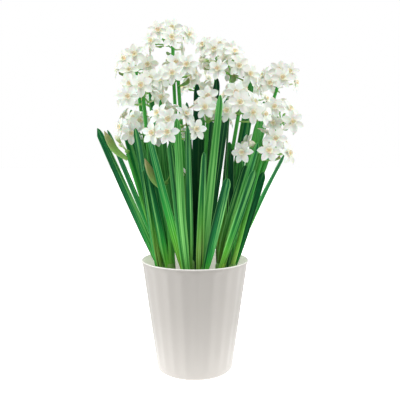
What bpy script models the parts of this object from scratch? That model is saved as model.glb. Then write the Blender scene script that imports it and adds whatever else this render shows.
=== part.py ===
"""Paperwhite narcissus growing in a fluted plastic pot.

Seven bulbs sit in hollows in the potting mix. Each one sends up two or three leafy shoots, and
each shoot ends in an umbel of small white flowers. The origin is on the floor under the middle
of the pot, +Z is up and -Y is the front. Lengths are in metres, and MM turns millimetres into
metres.
"""

import math
from collections import namedtuple

import bmesh
import bpy
import numpy as np
from mathutils import Matrix, Quaternion, Vector

MM = 0.001
GAP = 0.3 * MM

# Pot
POT_HEIGHT = 155 * MM
POT_RIM_RADIUS = 75 * MM
POT_BASE_RADIUS = 53 * MM
POT_WALL = 3 * MM
POT_FOOT_ROUNDING = 4 * MM
POT_LIP_HEIGHT = 2.6 * MM
POT_LIP_OVERHANG = 0.8 * MM
POT_FACETS = 22
POT_FACET_PHASE = math.radians(-4.7)
POT_STEPS = 2 * POT_FACETS

# Potting mix and bulbs
MIX_TOP = 115 * MM
BULB_RADIUS = 19 * MM
BULB_DEPTH = 19 * MM
BULB_NECK_RADIUS = 13 * MM
BULB_TOP = MIX_TOP + 14 * MM
BULB_RING_RADIUS = 45 * MM
BULB_RING_COUNT = 6
BULB_STEPS = 8

# Shoots
SHEATH_RADIUS = 5.0 * MM
SHEATH_HEIGHT = 25 * MM
SHOOT_SPACING = 8.3 * MM
STEM_RADIUS = 2.9 * MM
LEAF_WIDTHS = (9.5 * MM, 12.5 * MM)
LEAF_THICKNESS = 1.8 * MM
SPATHE_LENGTH = 32 * MM
SPATHE_WIDTH = 8 * MM
SWOLLEN_SPATHE_RADIUS = 5.2 * MM
SECTION_SHARES = (0.03, 0.22, 0.45, 0.7, 0.955, 1.0)
LEAF_SHAPE = (0.4, 0.86, 1.0, 0.97, 0.78)

# Flowers
HUB_RADIUS = 3.4 * MM
HUB_HEIGHT = 5 * MM
FLORET_RADIUS = 15 * MM
CUP_RADIUS = 4.2 * MM
CUP_HEIGHT = 4 * MM
BUD_LENGTH = 17 * MM
BUD_RADIUS = 3.3 * MM
PEDICEL_LENGTHS = (13 * MM, 23 * MM)
PEDICEL_GROWTH = 0.01 * MM
PEDICEL_RADIUS = 1.1 * MM
TUBE_RADIUS = 1.8 * MM
TUBE_LENGTH = 11 * MM
LOWEST_FLORET_TILT = -0.3
PETAL_OUTLINE = ((0.44, 0.0, 0.0), (0.93, 0.36, 0.2 * MM), (0.93, 0.64, 0.2 * MM))
LIGHT = Vector((0, -1, 0.15)).normalized()
TURN_TO_LIGHT = (math.radians(22), math.radians(68))
SHARPEST_BEND = math.radians(84)

# Each shoot: its bulb (0 is the middle one, 1 to 6 go round the ring from the right at the
# back), where its umbel stands, its open florets and buds, and the tips of its outer leaves.
Shoot = namedtuple("Shoot", "bulb umbel florets buds leaves")
SHOOTS = (
    Shoot(0, (-39, 18, 455), 11, 1, ((-62, 0, 371),)),
    Shoot(0, (-22, -20, 402), 10, 0, ((3, 20, 402),)),
    Shoot(0, (50, -12, 408), 9, 0, ((31, 0, 406),)),
    Shoot(1, (119, 26, 402), 9, 0, ((104, 22, 372),)),
    Shoot(1, (80, 72, 385), 6, 0, ((80, 14, 405),)),
    Shoot(2, (33, 42, 437), 11, 1, ((46, 34, 383),)),
    Shoot(2, (5, 92, 400), 6, 0, ()),
    Shoot(3, (-86, 44, 424), 10, 0, ((-67, 40, 424),)),
    Shoot(3, (-80, 8, 331), 8, 0, ((-123, 15, 336), (-95, 32, 340))),
    Shoot(3, (-66, 88, 372), 6, 0, ()),
    Shoot(4, (-67, -36, 377), 10, 0, ((-64, -70, 281), (-79, -30, 336))),
    Shoot(4, (-90, -26, 305), 0, 2, ((-132, -12, 337),)),
    Shoot(4, (-37, -54, 264), 1, 0, ((-62, -60, 290),)),
    Shoot(5, (-27, -74, 329), 10, 0, ((-29, -86, 315),)),
    Shoot(5, (17, -60, 342), 9, 0, ((12, -95, 303), (41, -90, 271))),
    Shoot(6, (117, -14, 345), 7, 0, ((121, -12, 301), (93, -20, 372))),
    Shoot(6, (87, -62, 303), 8, 1, ((87, -57, 278), (60, -42, 294))),
    Shoot(6, (56, -64, 352), 10, 1, ((74, -80, 281), (66, -62, 287))),
)
LEAVES_PER_SHOOT = (4, 3)
# By place in the table: the spathes that are still shut, and where the florets in them lean.
SWOLLEN_SPATHES = {11: (-31, 2, 38), 12: (-26, -8, 42)}
FLORET_LEANS = {11: (-0.5, 0.5, 0.8), 12: (-0.8, 0.3, 0.6)}
UPRIGHT_SHARE = 0.75
HEAD_CLEARANCE = 11 * MM
STRAND_CLEARANCE = 1.0 * MM
LEVEL_STEP = 12 * MM
LEVELS = 28
SETTLE_ROUNDS = 240
SETTLE_REACH = 20 * MM
FLORET_TRIES = 700
SEED = 6

Strand = namedtuple("Strand", "shoot is_leaf foot end width facing twist")
Floret = namedtuple("Floret", "shoot hub bend centre facing size is_bud roll")


# Layout: where the leaves, stems and flowers go


def bulb_places():
    """The middle bulb, then the ring."""
    places = [Vector((0, 0, BULB_TOP))]
    for number in range(BULB_RING_COUNT):
        angle = math.radians(30 + number * 360 / BULB_RING_COUNT)
        places.append(Vector((BULB_RING_RADIUS * math.cos(angle),
                              BULB_RING_RADIUS * math.sin(angle), BULB_TOP)))
    return places


def fan_out(leans):
    """Evenly spaced directions round a middle, each given to the lean that it suits best."""
    mean = math.atan2(sum(map(math.sin, leans)), sum(map(math.cos, leans)))
    sides = [(lean - mean + math.pi) % math.tau - math.pi for lean in leans]
    order = sorted(range(len(leans)), key=sides.__getitem__)
    step = math.tau / len(leans)
    misfits = [sides[member] - place * step for place, member in enumerate(order)]
    start = mean + math.atan2(sum(map(math.sin, misfits)), sum(map(math.cos, misfits)))
    directions = [0.0] * len(leans)
    for place, member in enumerate(order):
        directions[member] = start + place * step
    return directions


def direction_between(start, end):
    return math.atan2(end[1] - start[1], end[0] - start[0])


def shoot_feet():
    """Where each shoot stands on its bulb: round the neck, on the side it leans to."""
    feet = [None] * len(SHOOTS)
    for number, place in enumerate(bulb_places()):
        members = [index for index, shoot in enumerate(SHOOTS) if shoot.bulb == number]
        leans = [direction_between(place, Vector(SHOOTS[index].umbel) * MM) for index in members]
        for index, angle in zip(members, fan_out(leans)):
            feet[index] = place + Vector((SHOOT_SPACING * math.cos(angle),
                                          SHOOT_SPACING * math.sin(angle), GAP))
    return feet


def plan_strands(feet, rng):
    """One stem and three or four leaves for each shoot, with a foot, an end and a width."""
    strands = []
    for index, shoot in enumerate(SHOOTS):
        foot = feet[index]
        hub = Vector(shoot.umbel) * MM
        strands.append(Strand(index, False, foot, hub, 2 * STEM_RADIUS, 0.0, 0.0))
        tips = [Vector(tip) * MM for tip in shoot.leaves]
        crowded = sum(other.bulb == shoot.bulb for other in SHOOTS) > 2
        while len(tips) < LEAVES_PER_SHOOT[crowded]:
            spread = rng.normal(0, 24 * MM, 2)
            reach = foot.xy * 1.75 + Vector(spread)
            tips.append(Vector((reach.x, reach.y, rng.uniform(305, 385) * MM)))
        for tip, turn in zip(tips, fan_out([direction_between(foot, tip) for tip in tips])):
            start = foot + Vector((math.cos(turn), math.sin(turn), 0)) * 2.6 * MM
            strands.append(Strand(index, True, start, tip, rng.uniform(*LEAF_WIDTHS),
                                  leaf_facing(turn, rng), rng.uniform(-0.8, 0.8)))
    return strands


def leaf_facing(outward, rng):
    """A leaf looks outwards, but is half turned to show its flat side to the front or back."""
    to_front = (math.pi - outward) % math.pi - math.pi / 2
    return outward + to_front / 2 + rng.uniform(-0.4, 0.4)


def half_width(strand, share):
    """Half of a leaf's width at a share of its height, as a level direction and length."""
    angle = strand.facing + math.pi / 2 + strand.twist * share
    length = strand.width / 2 * np.interp(share, SECTION_SHARES[:-1], LEAF_SHAPE)
    return np.array((math.cos(angle), math.sin(angle))) * length


def straightened(path, levels, strands):
    """The strands as their bodies follow them: straight between their sections."""
    result = path.copy()
    for row, strand in enumerate(strands):
        heights = strand.foot.z + np.array(SECTION_SHARES) * (strand.end.z - strand.foot.z)
        for axis in (0, 1):
            corners = np.interp(heights, levels, path[row, :, axis])
            inner = (levels >= heights[0]) & (levels <= heights[-1])
            result[row, inner, axis] = np.interp(levels[inner], heights, corners)
    return result


def settle_strands(strands):
    """Bend the strands clear of each other, level by level, between their feet and ends.

    Each leaf counts as three discs side by side at every level, and each stem as one, which
    is wider just under its umbel and above it. Discs that overlap push each other apart, and
    each strand's shifts are smoothed along its length.
    """
    levels = BULB_TOP + GAP + LEVEL_STEP * np.arange(LEVELS)
    count = len(strands)
    path = np.zeros((count, LEVELS, 2))
    side = np.zeros((count, LEVELS, 2))
    radius = np.zeros((count, LEVELS))
    free = np.zeros((count, LEVELS))
    for row, strand in enumerate(strands):
        share = (levels - strand.foot.z) / (strand.end.z - strand.foot.z)
        bend = UPRIGHT_SHARE * share + (1 - UPRIGHT_SHARE) * share ** 2
        bend = np.where(share > 1, 1 + (share - 1) * (2 - UPRIGHT_SHARE), bend)
        start = np.array(strand.foot.xy)
        path[row] = start + np.outer(bend, np.array(strand.end.xy) - start)
        if strand.is_leaf:
            present = share < 1 + LEVEL_STEP / (strand.end.z - strand.foot.z)
            radius[row] = np.where(present, 2.0 * MM, 0)
            arms = np.array([half_width(strand, value) for value in share])
            length = np.linalg.norm(arms, axis=1)[:, None]
            side[row] = arms * np.clip(length - 1.8 * MM, 0, None) / length
            free[row] = np.clip((levels - strand.foot.z) / (20 * MM), 0, 1)
        else:
            below = strand.end.z - levels
            near = (below < 8 * MM) & (below > -24 * MM)
            radius[row] = np.where(near, HEAD_CLEARANCE, STEM_RADIUS + 0.4 * MM)
            radius[row][below < -24 * MM] = 0
            sheathed = levels < strand.foot.z + SHEATH_HEIGHT + 4 * MM
            radius[row][sheathed] = SHEATH_RADIUS + 1.0 * MM
            free[row] = np.where(sheathed, 0, np.clip(below / (30 * MM), 0, 1))

    shoot = np.array([strand.shoot for strand in strands])
    offsets = np.array((-1.0, 0.0, 1.0))[:, None]
    steps = np.arange(LEVELS)
    limit = POT_RIM_RADIUS - POT_WALL - 8 * MM
    for turn in range(SETTLE_ROUNDS):
        reach_along = 1.8 + 6 * max(0, 1 - 1.5 * turn / SETTLE_ROUNDS)
        spread = np.exp(-((steps[:, None] - steps[None, :]) / reach_along) ** 2)
        spread /= spread.sum(axis=1)[:, None]
        if turn > SETTLE_ROUNDS / 3:
            path = straightened(path, levels, strands)
        push = np.zeros_like(path)
        worst = 0.0
        for level in range(1, LEVELS):
            middle = path[:, level]
            apart = np.clip((levels[level] - BULB_TOP - 0.8 * SHEATH_HEIGHT) / (28 * MM), 0, 1)
            here = np.nonzero(radius[:, level] > 0)[0]
            gaps = np.linalg.norm(middle[here][:, None] - middle[here][None, :], axis=2)
            first, second = np.nonzero(np.triu(gaps < SETTLE_REACH, 1))
            first, second = here[first], here[second]
            first_discs = middle[first][:, None] + offsets * side[first, level][:, None]
            second_discs = middle[second][:, None] + offsets * side[second, level][:, None]
            away = first_discs[:, :, None] - second_discs[:, None]
            distance = np.hypot(away[..., 0], away[..., 1]) + 1e-7
            wanted = radius[first, level] + radius[second, level] + STRAND_CLEARANCE
            wanted = wanted * np.where(shoot[first] == shoot[second], apart, 1.0)
            overlap = np.clip(wanted[:, None, None] - distance, 0, None)
            between = overlap[shoot[first] != shoot[second]]
            worst = max(worst, between.max(initial=0.0))
            shove = (away / distance[..., None] * overlap[..., None]).sum(axis=(1, 2)) * 0.3
            np.add.at(push[:, level], first, shove)
            np.add.at(push[:, level], second, -shove)
            if levels[level] < POT_HEIGHT + 5 * MM:
                length = np.linalg.norm(middle, axis=1)
                excess = np.clip(length - limit, 0, None) / np.maximum(length, MM)
                push[:, level] -= middle * excess[:, None]
        path += np.einsum("kl,slc->skc", spread, push) * free[..., None]
    path = straightened(path, levels, strands)
    print(f"strands settled: {count}, deepest overlap left {worst / MM:.2f} mm")
    return levels, path


def strand_point(levels, path, height):
    """The point of a settled strand at a height."""
    return Vector((np.interp(height, levels, path[:, 0]), np.interp(height, levels, path[:, 1]), height))


def strand_cloud(strands, levels, paths):
    """Points with a radius and a shoot number, every few millimetres along each strand."""
    points = []
    for row, strand in enumerate(strands):
        top = strand.end.z - (HUB_HEIGHT if not strand.is_leaf else 0)
        for height in np.arange(strand.foot.z, top, 5 * MM):
            middle = strand_point(levels, paths[row], height)
            if not strand.is_leaf:
                points.append((*middle, STEM_RADIUS, strand.shoot))
                continue
            share = (height - strand.foot.z) / (strand.end.z - strand.foot.z)
            wide = half_width(strand, share) * 0.7
            for step in (-1, 0, 1):
                points.append((middle.x + wide[0] * step, middle.y + wide[1] * step, height,
                               1.9 * MM, strand.shoot))
    return np.array(points)


def floret_turn(facing, roll):
    """The rotation that points a floret's +Z where it faces and rolls it round that line."""
    return facing.to_track_quat("Z", "Y").to_matrix() @ Matrix.Rotation(roll, 3, "Z")


def disc_points(centre, facing, size, roll):
    """Balls that cover an open floret: its cup, the middle of its petals and their tips."""
    turn = floret_turn(facing, roll)
    balls = [(*(centre + facing * 1.5 * MM), 4.3 * MM)]
    for number in range(12):
        angle = math.tau * number / 12
        arm = turn @ Vector((math.cos(angle), math.sin(angle), 0))
        distance = FLORET_RADIUS * size * (0.86 if number % 2 else 0.55)
        ball = FLORET_RADIUS * size * (0.14 if number % 2 else 0.26)
        balls.append((*(centre + arm * distance), ball))
    return balls


def line_points(start, end, radius):
    """Balls along a straight line."""
    steps = max(2, int((end - start).length / (3 * MM)))
    return [(*start.lerp(end, step / steps), radius) for step in range(steps + 1)]


def is_clear(balls, others, margin):
    """True where no ball comes within the margin of the others."""
    if not len(others):
        return True
    balls = np.array(balls)
    away = balls[:, None, :3] - others[None, :, :3]
    distance = np.sqrt((away ** 2).sum(axis=2))
    return bool((distance > balls[:, None, 3] + others[None, :, 3] + margin).all())


def spathe_rows(index, turn):
    """The spathe's middle line and half widths: out from the stem under the hub, then up."""
    hub = Vector(SHOOTS[index].umbel) * MM
    outward = Vector((hub.x, hub.y, 0)).normalized()
    side = Matrix.Rotation(math.radians(turn), 3, "Z") @ outward * SPATHE_LENGTH
    rise = SPATHE_LENGTH * 0.2
    half = SPATHE_WIDTH / 2
    shape = (0.35, 0.95, 0.9, 0.1)
    if index in SWOLLEN_SPATHES:
        across_x, across_y, rise = (length * MM for length in SWOLLEN_SPATHES[index])
        side = Vector((across_x, across_y, 0))
        half = SWOLLEN_SPATHE_RADIUS
        shape = (0.5, 0.95, 1.0, 0.1)
    start = hub - Vector((0, 0, HUB_HEIGHT / 2 + 8 * MM))
    rows = []
    for share, width in zip((0.0, 0.4, 0.7, 1.0), shape):
        if index in SWOLLEN_SPATHES:
            bend = side * share ** 0.7 + Vector((0, 0, rise * share ** 1.2))
        else:
            bend = side * math.sin(share * math.pi / 2) + Vector((0, 0, rise * share ** 2))
        rows.append((start + bend, half * width))
    return rows


def place_spathes(taken):
    """Turn each spathe to the first side where it is clear of the other shoots."""
    spathes = []
    for index in range(len(SHOOTS)):
        others = taken[taken[:, 4] != index]
        for turn in (75, -75, 105, -105, 45, -45, 140, -140, 180, 0):
            rows = spathe_rows(index, turn if index % 2 else -turn)
            balls = [(*here, half + 0.8 * MM) for here, half in rows]
            for (here, half), (ahead, ahead_half) in zip(rows, rows[1:]):
                balls.append((*here.lerp(ahead, 0.5), (half + ahead_half) / 2 + 0.8 * MM))
            if is_clear(balls, others, 0.3 * MM):
                break
        spathes.append(rows)
        taken = np.vstack([taken, [(*ball, index) for ball in balls]])
    return spathes, taken


def floret_facing(direction, most_turn):
    """A floret looks outwards, but turns as far as it can towards the light at the front."""
    outward = Vector((direction.x, direction.y - 0.3, 0.25 * direction.z + 0.1)).normalized()
    turn = outward.rotation_difference(LIGHT)
    return Quaternion(turn.axis, min(turn.angle, most_turn)) @ outward


def place_florets(strands, levels, paths, rng):
    """Set each umbel's florets round its hub, clear of all that is already there.

    A floret's stalk runs straight out from the hub and bends where its tube begins.
    """
    spathes, taken = place_spathes(strand_cloud(strands, levels, paths))
    florets = []
    missed = 0
    for index, shoot in enumerate(SHOOTS):
        hub = Vector(shoot.umbel) * MM
        outward = Vector((hub.x, hub.y, 0)).normalized()
        axis = (outward * 0.6 + Vector((0, 0, 0.9))).normalized()
        near = taken[np.linalg.norm(taken[:, :3] - np.array(hub), axis=1) < 75 * MM]
        spread = 1.0
        if index in FLORET_LEANS:
            axis = Vector(FLORET_LEANS[index])
            spread = 0.3
        kinds = [False] * shoot.florets + [True] * shoot.buds
        for is_bud in kinds:
            for attempt in range(FLORET_TRIES):
                direction = Vector(rng.normal(0, 1, 3)).normalized() * spread
                direction += axis * rng.uniform(0.2, 1.1)
                direction.normalize()
                length = rng.uniform(*PEDICEL_LENGTHS) + attempt * PEDICEL_GROWTH
                size = rng.uniform(0.92, 1.04)
                roll = rng.uniform(0, math.tau)
                turned = floret_facing(direction, rng.uniform(*TURN_TO_LIGHT))
                facing = direction if is_bud else turned
                if direction.z < LOWEST_FLORET_TILT or facing.angle(direction) > SHARPEST_BEND:
                    continue
                bend = hub + direction * length
                centre = bend + facing * TUBE_LENGTH
                balls = line_points(hub + direction * (HUB_RADIUS + 3 * MM), bend, TUBE_RADIUS)
                if is_bud:
                    head = line_points(bend, centre, BUD_RADIUS + GAP)
                else:
                    balls += line_points(bend, centre, TUBE_RADIUS)[1:]
                    head = disc_points(centre, facing, size, roll)
                if is_clear(balls + head, near, 0.3 * MM):
                    new = np.array([(*ball, index) for ball in balls[2:] + head])
                    near = np.vstack([near, new])
                    taken = np.vstack([taken, new])
                    florets.append(Floret(index, hub, bend, centre, facing, size, is_bud, roll))
                    break
            else:
                missed += 1
    print(f"florets and buds placed: {len(florets)}, with no room for {missed}")
    return florets, spathes


# Modelling helpers


def collection_named(name, hidden=False):
    collection = bpy.data.collections.new(name)
    bpy.context.scene.collection.children.link(collection)
    collection.hide_render = hidden
    return collection


def material_named(name, colour, roughness):
    material = bpy.data.materials.new(name)
    material.use_nodes = True
    shader = material.node_tree.nodes["Principled BSDF"]
    shader.inputs["Base Color"].default_value = (*colour, 1.0)
    shader.inputs["Roughness"].default_value = roughness
    shader.inputs["Metallic"].default_value = 0.0
    material.diffuse_color = (*colour, 1.0)
    return material


def object_from(name, mesh_builder, collection):
    """Link an object whose closed mesh comes from a bmesh."""
    bmesh.ops.recalc_face_normals(mesh_builder, faces=mesh_builder.faces)
    mesh = bpy.data.meshes.new(name)
    mesh_builder.to_mesh(mesh)
    mesh_builder.free()
    obj = bpy.data.objects.new(name, mesh)
    collection.objects.link(obj)
    return obj


def turned_object(name, profile, steps, collection):
    """Spin a profile of (radius, height) points, from the top down, round the Z axis."""
    mesh = bpy.data.meshes.new(name)
    points = [(radius, 0, height) for radius, height in profile]
    edges = [(number, number + 1) for number in range(len(points) - 1)]
    mesh.from_pydata(points, edges, [])
    obj = bpy.data.objects.new(name, mesh)
    collection.objects.link(obj)
    screw = obj.modifiers.new("turn", "SCREW")
    screw.steps = steps
    screw.render_steps = steps
    screw.use_merge_vertices = True
    screw.merge_threshold = 0.00001
    return obj


def apply_modifiers(obj):
    """Replace an object's mesh with what its modifiers make of it."""
    graph = bpy.context.evaluated_depsgraph_get()
    result = bpy.data.meshes.new_from_object(obj.evaluated_get(graph))
    obj.modifiers.clear()
    obj.data = result


def skin(mesh_builder, rings, start_point=None, end_point=None):
    """Loft closed rings of equal counts, and close both ends, on a point where one is given."""
    rows = [[mesh_builder.verts.new(point) for point in ring] for ring in rings]
    count = len(rows[0])
    for lower, upper in zip(rows, rows[1:]):
        for number in range(count):
            after = (number + 1) % count
            mesh_builder.faces.new((lower[number], lower[after], upper[after]))
            mesh_builder.faces.new((lower[number], upper[after], upper[number]))
    for row, point in ((rows[0], start_point), (rows[-1], end_point)):
        if point is None:
            mesh_builder.faces.new(row)
            continue
        apex = mesh_builder.verts.new(point)
        for number in range(count):
            mesh_builder.faces.new((row[number], row[(number + 1) % count], apex))


def ring_points(centre, first, second, sides, phase=0.0):
    """A round ring whose radii are the two arm vectors."""
    points = []
    for number in range(sides):
        angle = phase + math.tau * number / sides
        points.append(centre + first * math.cos(angle) + second * math.sin(angle))
    return points


def keep_main_body(obj):
    """Fill the hollows that fusing sealed and drop loose scraps: keep only the largest skin."""
    builder = bmesh.new()
    builder.from_mesh(obj.data)
    unseen = set(builder.verts)
    skins = []
    while unseen:
        edge_of_search = [unseen.pop()]
        found = set(edge_of_search)
        while edge_of_search:
            vertex = edge_of_search.pop()
            for edge in vertex.link_edges:
                other = edge.other_vert(vertex)
                if other in unseen:
                    unseen.discard(other)
                    found.add(other)
                    edge_of_search.append(other)
        skins.append(found)
    skins.sort(key=len)
    for loose in skins[:-1]:
        bmesh.ops.delete(builder, geom=list(loose), context="VERTS")
    builder.to_mesh(obj.data)
    builder.free()


def unite(obj, pieces_collection):
    """Join the pieces in the collection to the object as one body, then drop them."""
    union = obj.modifiers.new("union", "BOOLEAN")
    union.operation = "UNION"
    union.operand_type = "COLLECTION"
    union.collection = pieces_collection
    union.solver = "EXACT"
    apply_modifiers(obj)
    keep_main_body(obj)
    for piece in list(pieces_collection.objects):
        bpy.data.objects.remove(piece)


# The pieces


def pot_radius(height):
    """The pot's outer radius at a height, before its facets."""
    return POT_BASE_RADIUS + (POT_RIM_RADIUS - POT_LIP_OVERHANG - POT_BASE_RADIUS) * height / POT_HEIGHT


def make_pot(collection):
    """A tapered shell with soft facets under a rounded lip."""
    lip = POT_WALL / 2
    shoulder = POT_HEIGHT - POT_LIP_HEIGHT
    crown = POT_RIM_RADIUS - lip
    profile = [(0.0, POT_WALL), (pot_radius(POT_WALL) - POT_WALL, POT_WALL)]
    profile += [(POT_RIM_RADIUS - POT_WALL, POT_HEIGHT - lip)]
    profile += [(crown - lip * 0.5, POT_HEIGHT), (crown + lip * 0.5, POT_HEIGHT)]
    profile += [(POT_RIM_RADIUS, POT_HEIGHT - lip), (POT_RIM_RADIUS, shoulder)]
    profile += [(pot_radius(shoulder), shoulder - 0.6 * MM)]
    profile += [(pot_radius(14 * MM), 14 * MM), (pot_radius(POT_FOOT_ROUNDING), POT_FOOT_ROUNDING)]
    profile += [(POT_BASE_RADIUS - POT_FOOT_ROUNDING / 2, 0.0), (0.0, 0.0)]
    pot = turned_object("pot", profile, POT_STEPS, collection)
    pot.rotation_euler.z = POT_FACET_PHASE - math.pi / 2
    apply_modifiers(pot)
    facet = math.tau / POT_FACETS
    for vertex in pot.data.vertices:
        radius = vertex.co.xy.length
        on_wall = 10 * MM < vertex.co.z < shoulder and radius > pot_radius(vertex.co.z) - POT_WALL / 2
        if on_wall:
            turn = math.atan2(vertex.co.y, vertex.co.x) % facet - facet / 2
            flat = math.cos(facet / 2) / math.cos(turn)
            vertex.co.x *= flat
            vertex.co.y *= flat
    return pot


def bulb_profile(clearance):
    """A bulb from its neck down to its flat base, with the axis at radius 0."""
    shape = ((BULB_NECK_RADIUS, BULB_TOP), (0.92 * BULB_RADIUS, MIX_TOP + 5 * MM),
             (BULB_RADIUS, MIX_TOP - 3 * MM), (0.62 * BULB_RADIUS, MIX_TOP - BULB_DEPTH))
    grown = [(radius + clearance, height) for radius, height in shape]
    bottom = shape[-1][1] - clearance
    grown[-1] = (grown[-1][0], bottom)
    return [(0.0, BULB_TOP)] + grown + [(0.0, bottom)]


def make_bulbs(collection):
    bulbs = []
    for number, place in enumerate(bulb_places()):
        bulb = turned_object(f"bulb_{number + 1}", bulb_profile(0.0), BULB_STEPS, collection)
        bulb.location = (place.x, place.y, 0)
        bulbs.append(bulb)
    return bulbs


def make_potting_mix(collection, cutters):
    """What fills the pot round the bulbs, with a hollow for each of them."""
    bottom = POT_WALL + GAP
    clearance = POT_WALL + GAP
    profile = [(0.0, MIX_TOP), (pot_radius(MIX_TOP) - clearance, MIX_TOP)]
    profile += [(pot_radius(bottom) - clearance, bottom), (0.0, bottom)]
    mix = turned_object("potting_mix", profile, POT_FACETS, collection)
    mix.rotation_euler.z = POT_FACET_PHASE - math.pi / 2
    for place in bulb_places():
        lower = [point for point in bulb_profile(GAP) if point[1] < MIX_TOP]
        top = MIX_TOP + 5 * MM
        wall = (BULB_RADIUS + GAP, top)
        hollow = turned_object("hollow", [(0.0, top), wall] + lower, BULB_STEPS, cutters)
        hollow.location = (place.x, place.y, 0)
        hollow.hide_render = True
        hollow.display_type = "WIRE"
        cut = mix.modifiers.new("hollow", "BOOLEAN")
        cut.operation = "DIFFERENCE"
        cut.object = hollow
        cut.solver = "EXACT"
    return mix


def add_leaf(strand, levels, path, collection):
    """A strap with a flat face and a keel behind it, blunt at the tip."""
    rings = []
    for share, shape in zip(SECTION_SHARES[:-1], LEAF_SHAPE):
        height = strand.foot.z + share * (strand.end.z - strand.foot.z)
        here = strand_point(levels, path, height)
        along = (strand_point(levels, path, height + 6 * MM) - here).normalized()
        wide = Vector((*half_width(strand, share), 0))
        wide -= along * wide.dot(along)
        keel = wide.cross(along).normalized() * LEAF_THICKNESS * (0.4 + shape / 2)
        rings.append([here - wide - keel * 0.3, here + keel * 0.7, here + wide - keel * 0.3])
    builder = bmesh.new()
    skin(builder, rings, end_point=strand_point(levels, path, strand.end.z))
    return object_from("leaf", builder, collection)


def add_stem(strand, levels, path, collection):
    """A round flower stem that ends flat, under the umbel's hub."""
    gap_end = strand.end.z - HUB_HEIGHT / 2 - GAP
    rings = []
    for share in SECTION_SHARES:
        height = min(strand.foot.z + share * (strand.end.z - strand.foot.z), gap_end)
        radius = STEM_RADIUS * (1.05 - 0.15 * share)
        rings.append(ring_points(strand_point(levels, path, height), Vector((radius, 0, 0)),
                                 Vector((0, radius, 0)), 4))
    builder = bmesh.new()
    skin(builder, rings)
    return object_from("stem", builder, collection)


def add_spathe(rows, swollen, collection):
    """A papery bract from the stem's side, thin beside open flowers and swollen round shut ones."""
    rings = []
    for number, (here, half) in enumerate(rows[:-1]):
        along = (rows[number + 1][0] - here).normalized()
        wide = along.cross(Vector((0, 0, 1))).normalized()
        keel = wide.cross(along).normalized()
        if swollen:
            rings.append(ring_points(here, wide * half, keel * half, 5))
        else:
            rings.append([here - wide * half, here + keel * 1.3 * MM, here + wide * half])
    builder = bmesh.new()
    skin(builder, rings, end_point=rows[-1][0])
    return object_from("spathe", builder, collection)


def make_shoot(index, foot, strands, levels, paths, spathe, collection, pieces):
    """A sheath with its leaves, its flower stem and its spathe, grown as one body."""
    name = f"shoot_{index + 1:02d}"
    stem_path = next(path for strand, path in zip(strands, paths)
                     if strand.shoot == index and not strand.is_leaf)
    rings = []
    for height, share in ((0, 0.8), (SHEATH_HEIGHT, 1.0)):
        middle = strand_point(levels, stem_path, foot.z + height)
        radius = SHEATH_RADIUS * share
        rings.append(ring_points(middle, Vector((radius, 0, 0)), Vector((0, radius, 0)), 5))
    builder = bmesh.new()
    skin(builder, rings)
    shoot = object_from(name, builder, collection)
    for strand, path in zip(strands, paths):
        if strand.shoot != index:
            continue
        if strand.is_leaf:
            add_leaf(strand, levels, path, pieces)
        else:
            add_stem(strand, levels, path, pieces)
    add_spathe(spathe, index in SWOLLEN_SPATHES, pieces)
    unite(shoot, pieces)
    return shoot


def stalk_rings(floret, first_arm, rows):
    """Rings of a bent stalk from rows of (middle, direction, radius), square to the direction."""
    rings = []
    for middle, direction, radius in rows:
        swing = floret.facing.rotation_difference(direction)
        rings.append([middle + swing @ (Matrix.Rotation(angle, 3, floret.facing) @ first_arm) * radius
                      for angle in (0, math.tau / 3, 2 * math.tau / 3)])
    return rings


def stalk_rows(floret):
    """Where a stalk bends and where it starts in the hub, with its directions and radii."""
    first = (floret.bend - floret.hub).normalized()
    root = floret.hub + first * HUB_RADIUS * 0.3
    return [(floret.bend, (first + floret.facing).normalized(), 1.3 * PEDICEL_RADIUS),
            (root, first, PEDICEL_RADIUS)]


def fan_between(builder, outline, corners):
    """Triangles between an outline and three corners inside it, which start where it starts."""
    third = len(outline) // 3
    nearest = [corners[(number + third // 2) // third % 3] for number in range(len(outline))]
    for number, point in enumerate(outline):
        after = (number + 1) % len(outline)
        builder.faces.new((outline[after], point, nearest[number]))
        if nearest[after] is not nearest[number]:
            builder.faces.new((outline[after], nearest[number], nearest[after]))


def add_floret(floret, collection):
    """Six petals in two layers, a small cup in front and a tube behind, on a bent stalk."""
    turn = floret_turn(floret.facing, floret.roll)

    def place(radius, angle, height):
        local = Vector((radius * math.cos(angle), radius * math.sin(angle), height))
        return floret.centre + turn @ local

    reach = FLORET_RADIUS * floret.size
    builder = bmesh.new()
    sector = math.tau / 6
    outline = []
    foot = []
    rim = []
    for number in range(6):
        start = number * sector
        layer = 0.5 * MM if number % 2 else -0.5 * MM
        if number % 2 == 0:
            foot.append(builder.verts.new(place(0.24 * reach, start, 0.6 * MM)))
        rim.append(builder.verts.new(place(CUP_RADIUS, start, CUP_HEIGHT)))
        for radius, share, height in PETAL_OUTLINE:
            outline.append(builder.verts.new(place(radius * reach, start + share * sector,
                                                   height + layer * (share > 0))))
    fan_between(builder, outline, foot)
    fan_between(builder, rim, foot)
    builder.faces.new(rim)
    throat = floret.centre - floret.facing * 1.4 * MM
    arm = turn @ Vector((1, 0, 0))
    rows = stalk_rings(floret, arm, [(throat, floret.facing, TUBE_RADIUS)] + stalk_rows(floret))
    rows = [[builder.verts.new(point) for point in ring] for ring in rows]
    fan_between(builder, outline, rows[0])
    for lower, upper in zip(rows, rows[1:]):
        for number in range(3):
            after = (number + 1) % 3
            builder.faces.new((lower[number], lower[after], upper[after]))
            builder.faces.new((lower[number], upper[after], upper[number]))
    builder.faces.new(rows[-1])
    return object_from("floret", builder, collection)


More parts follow.
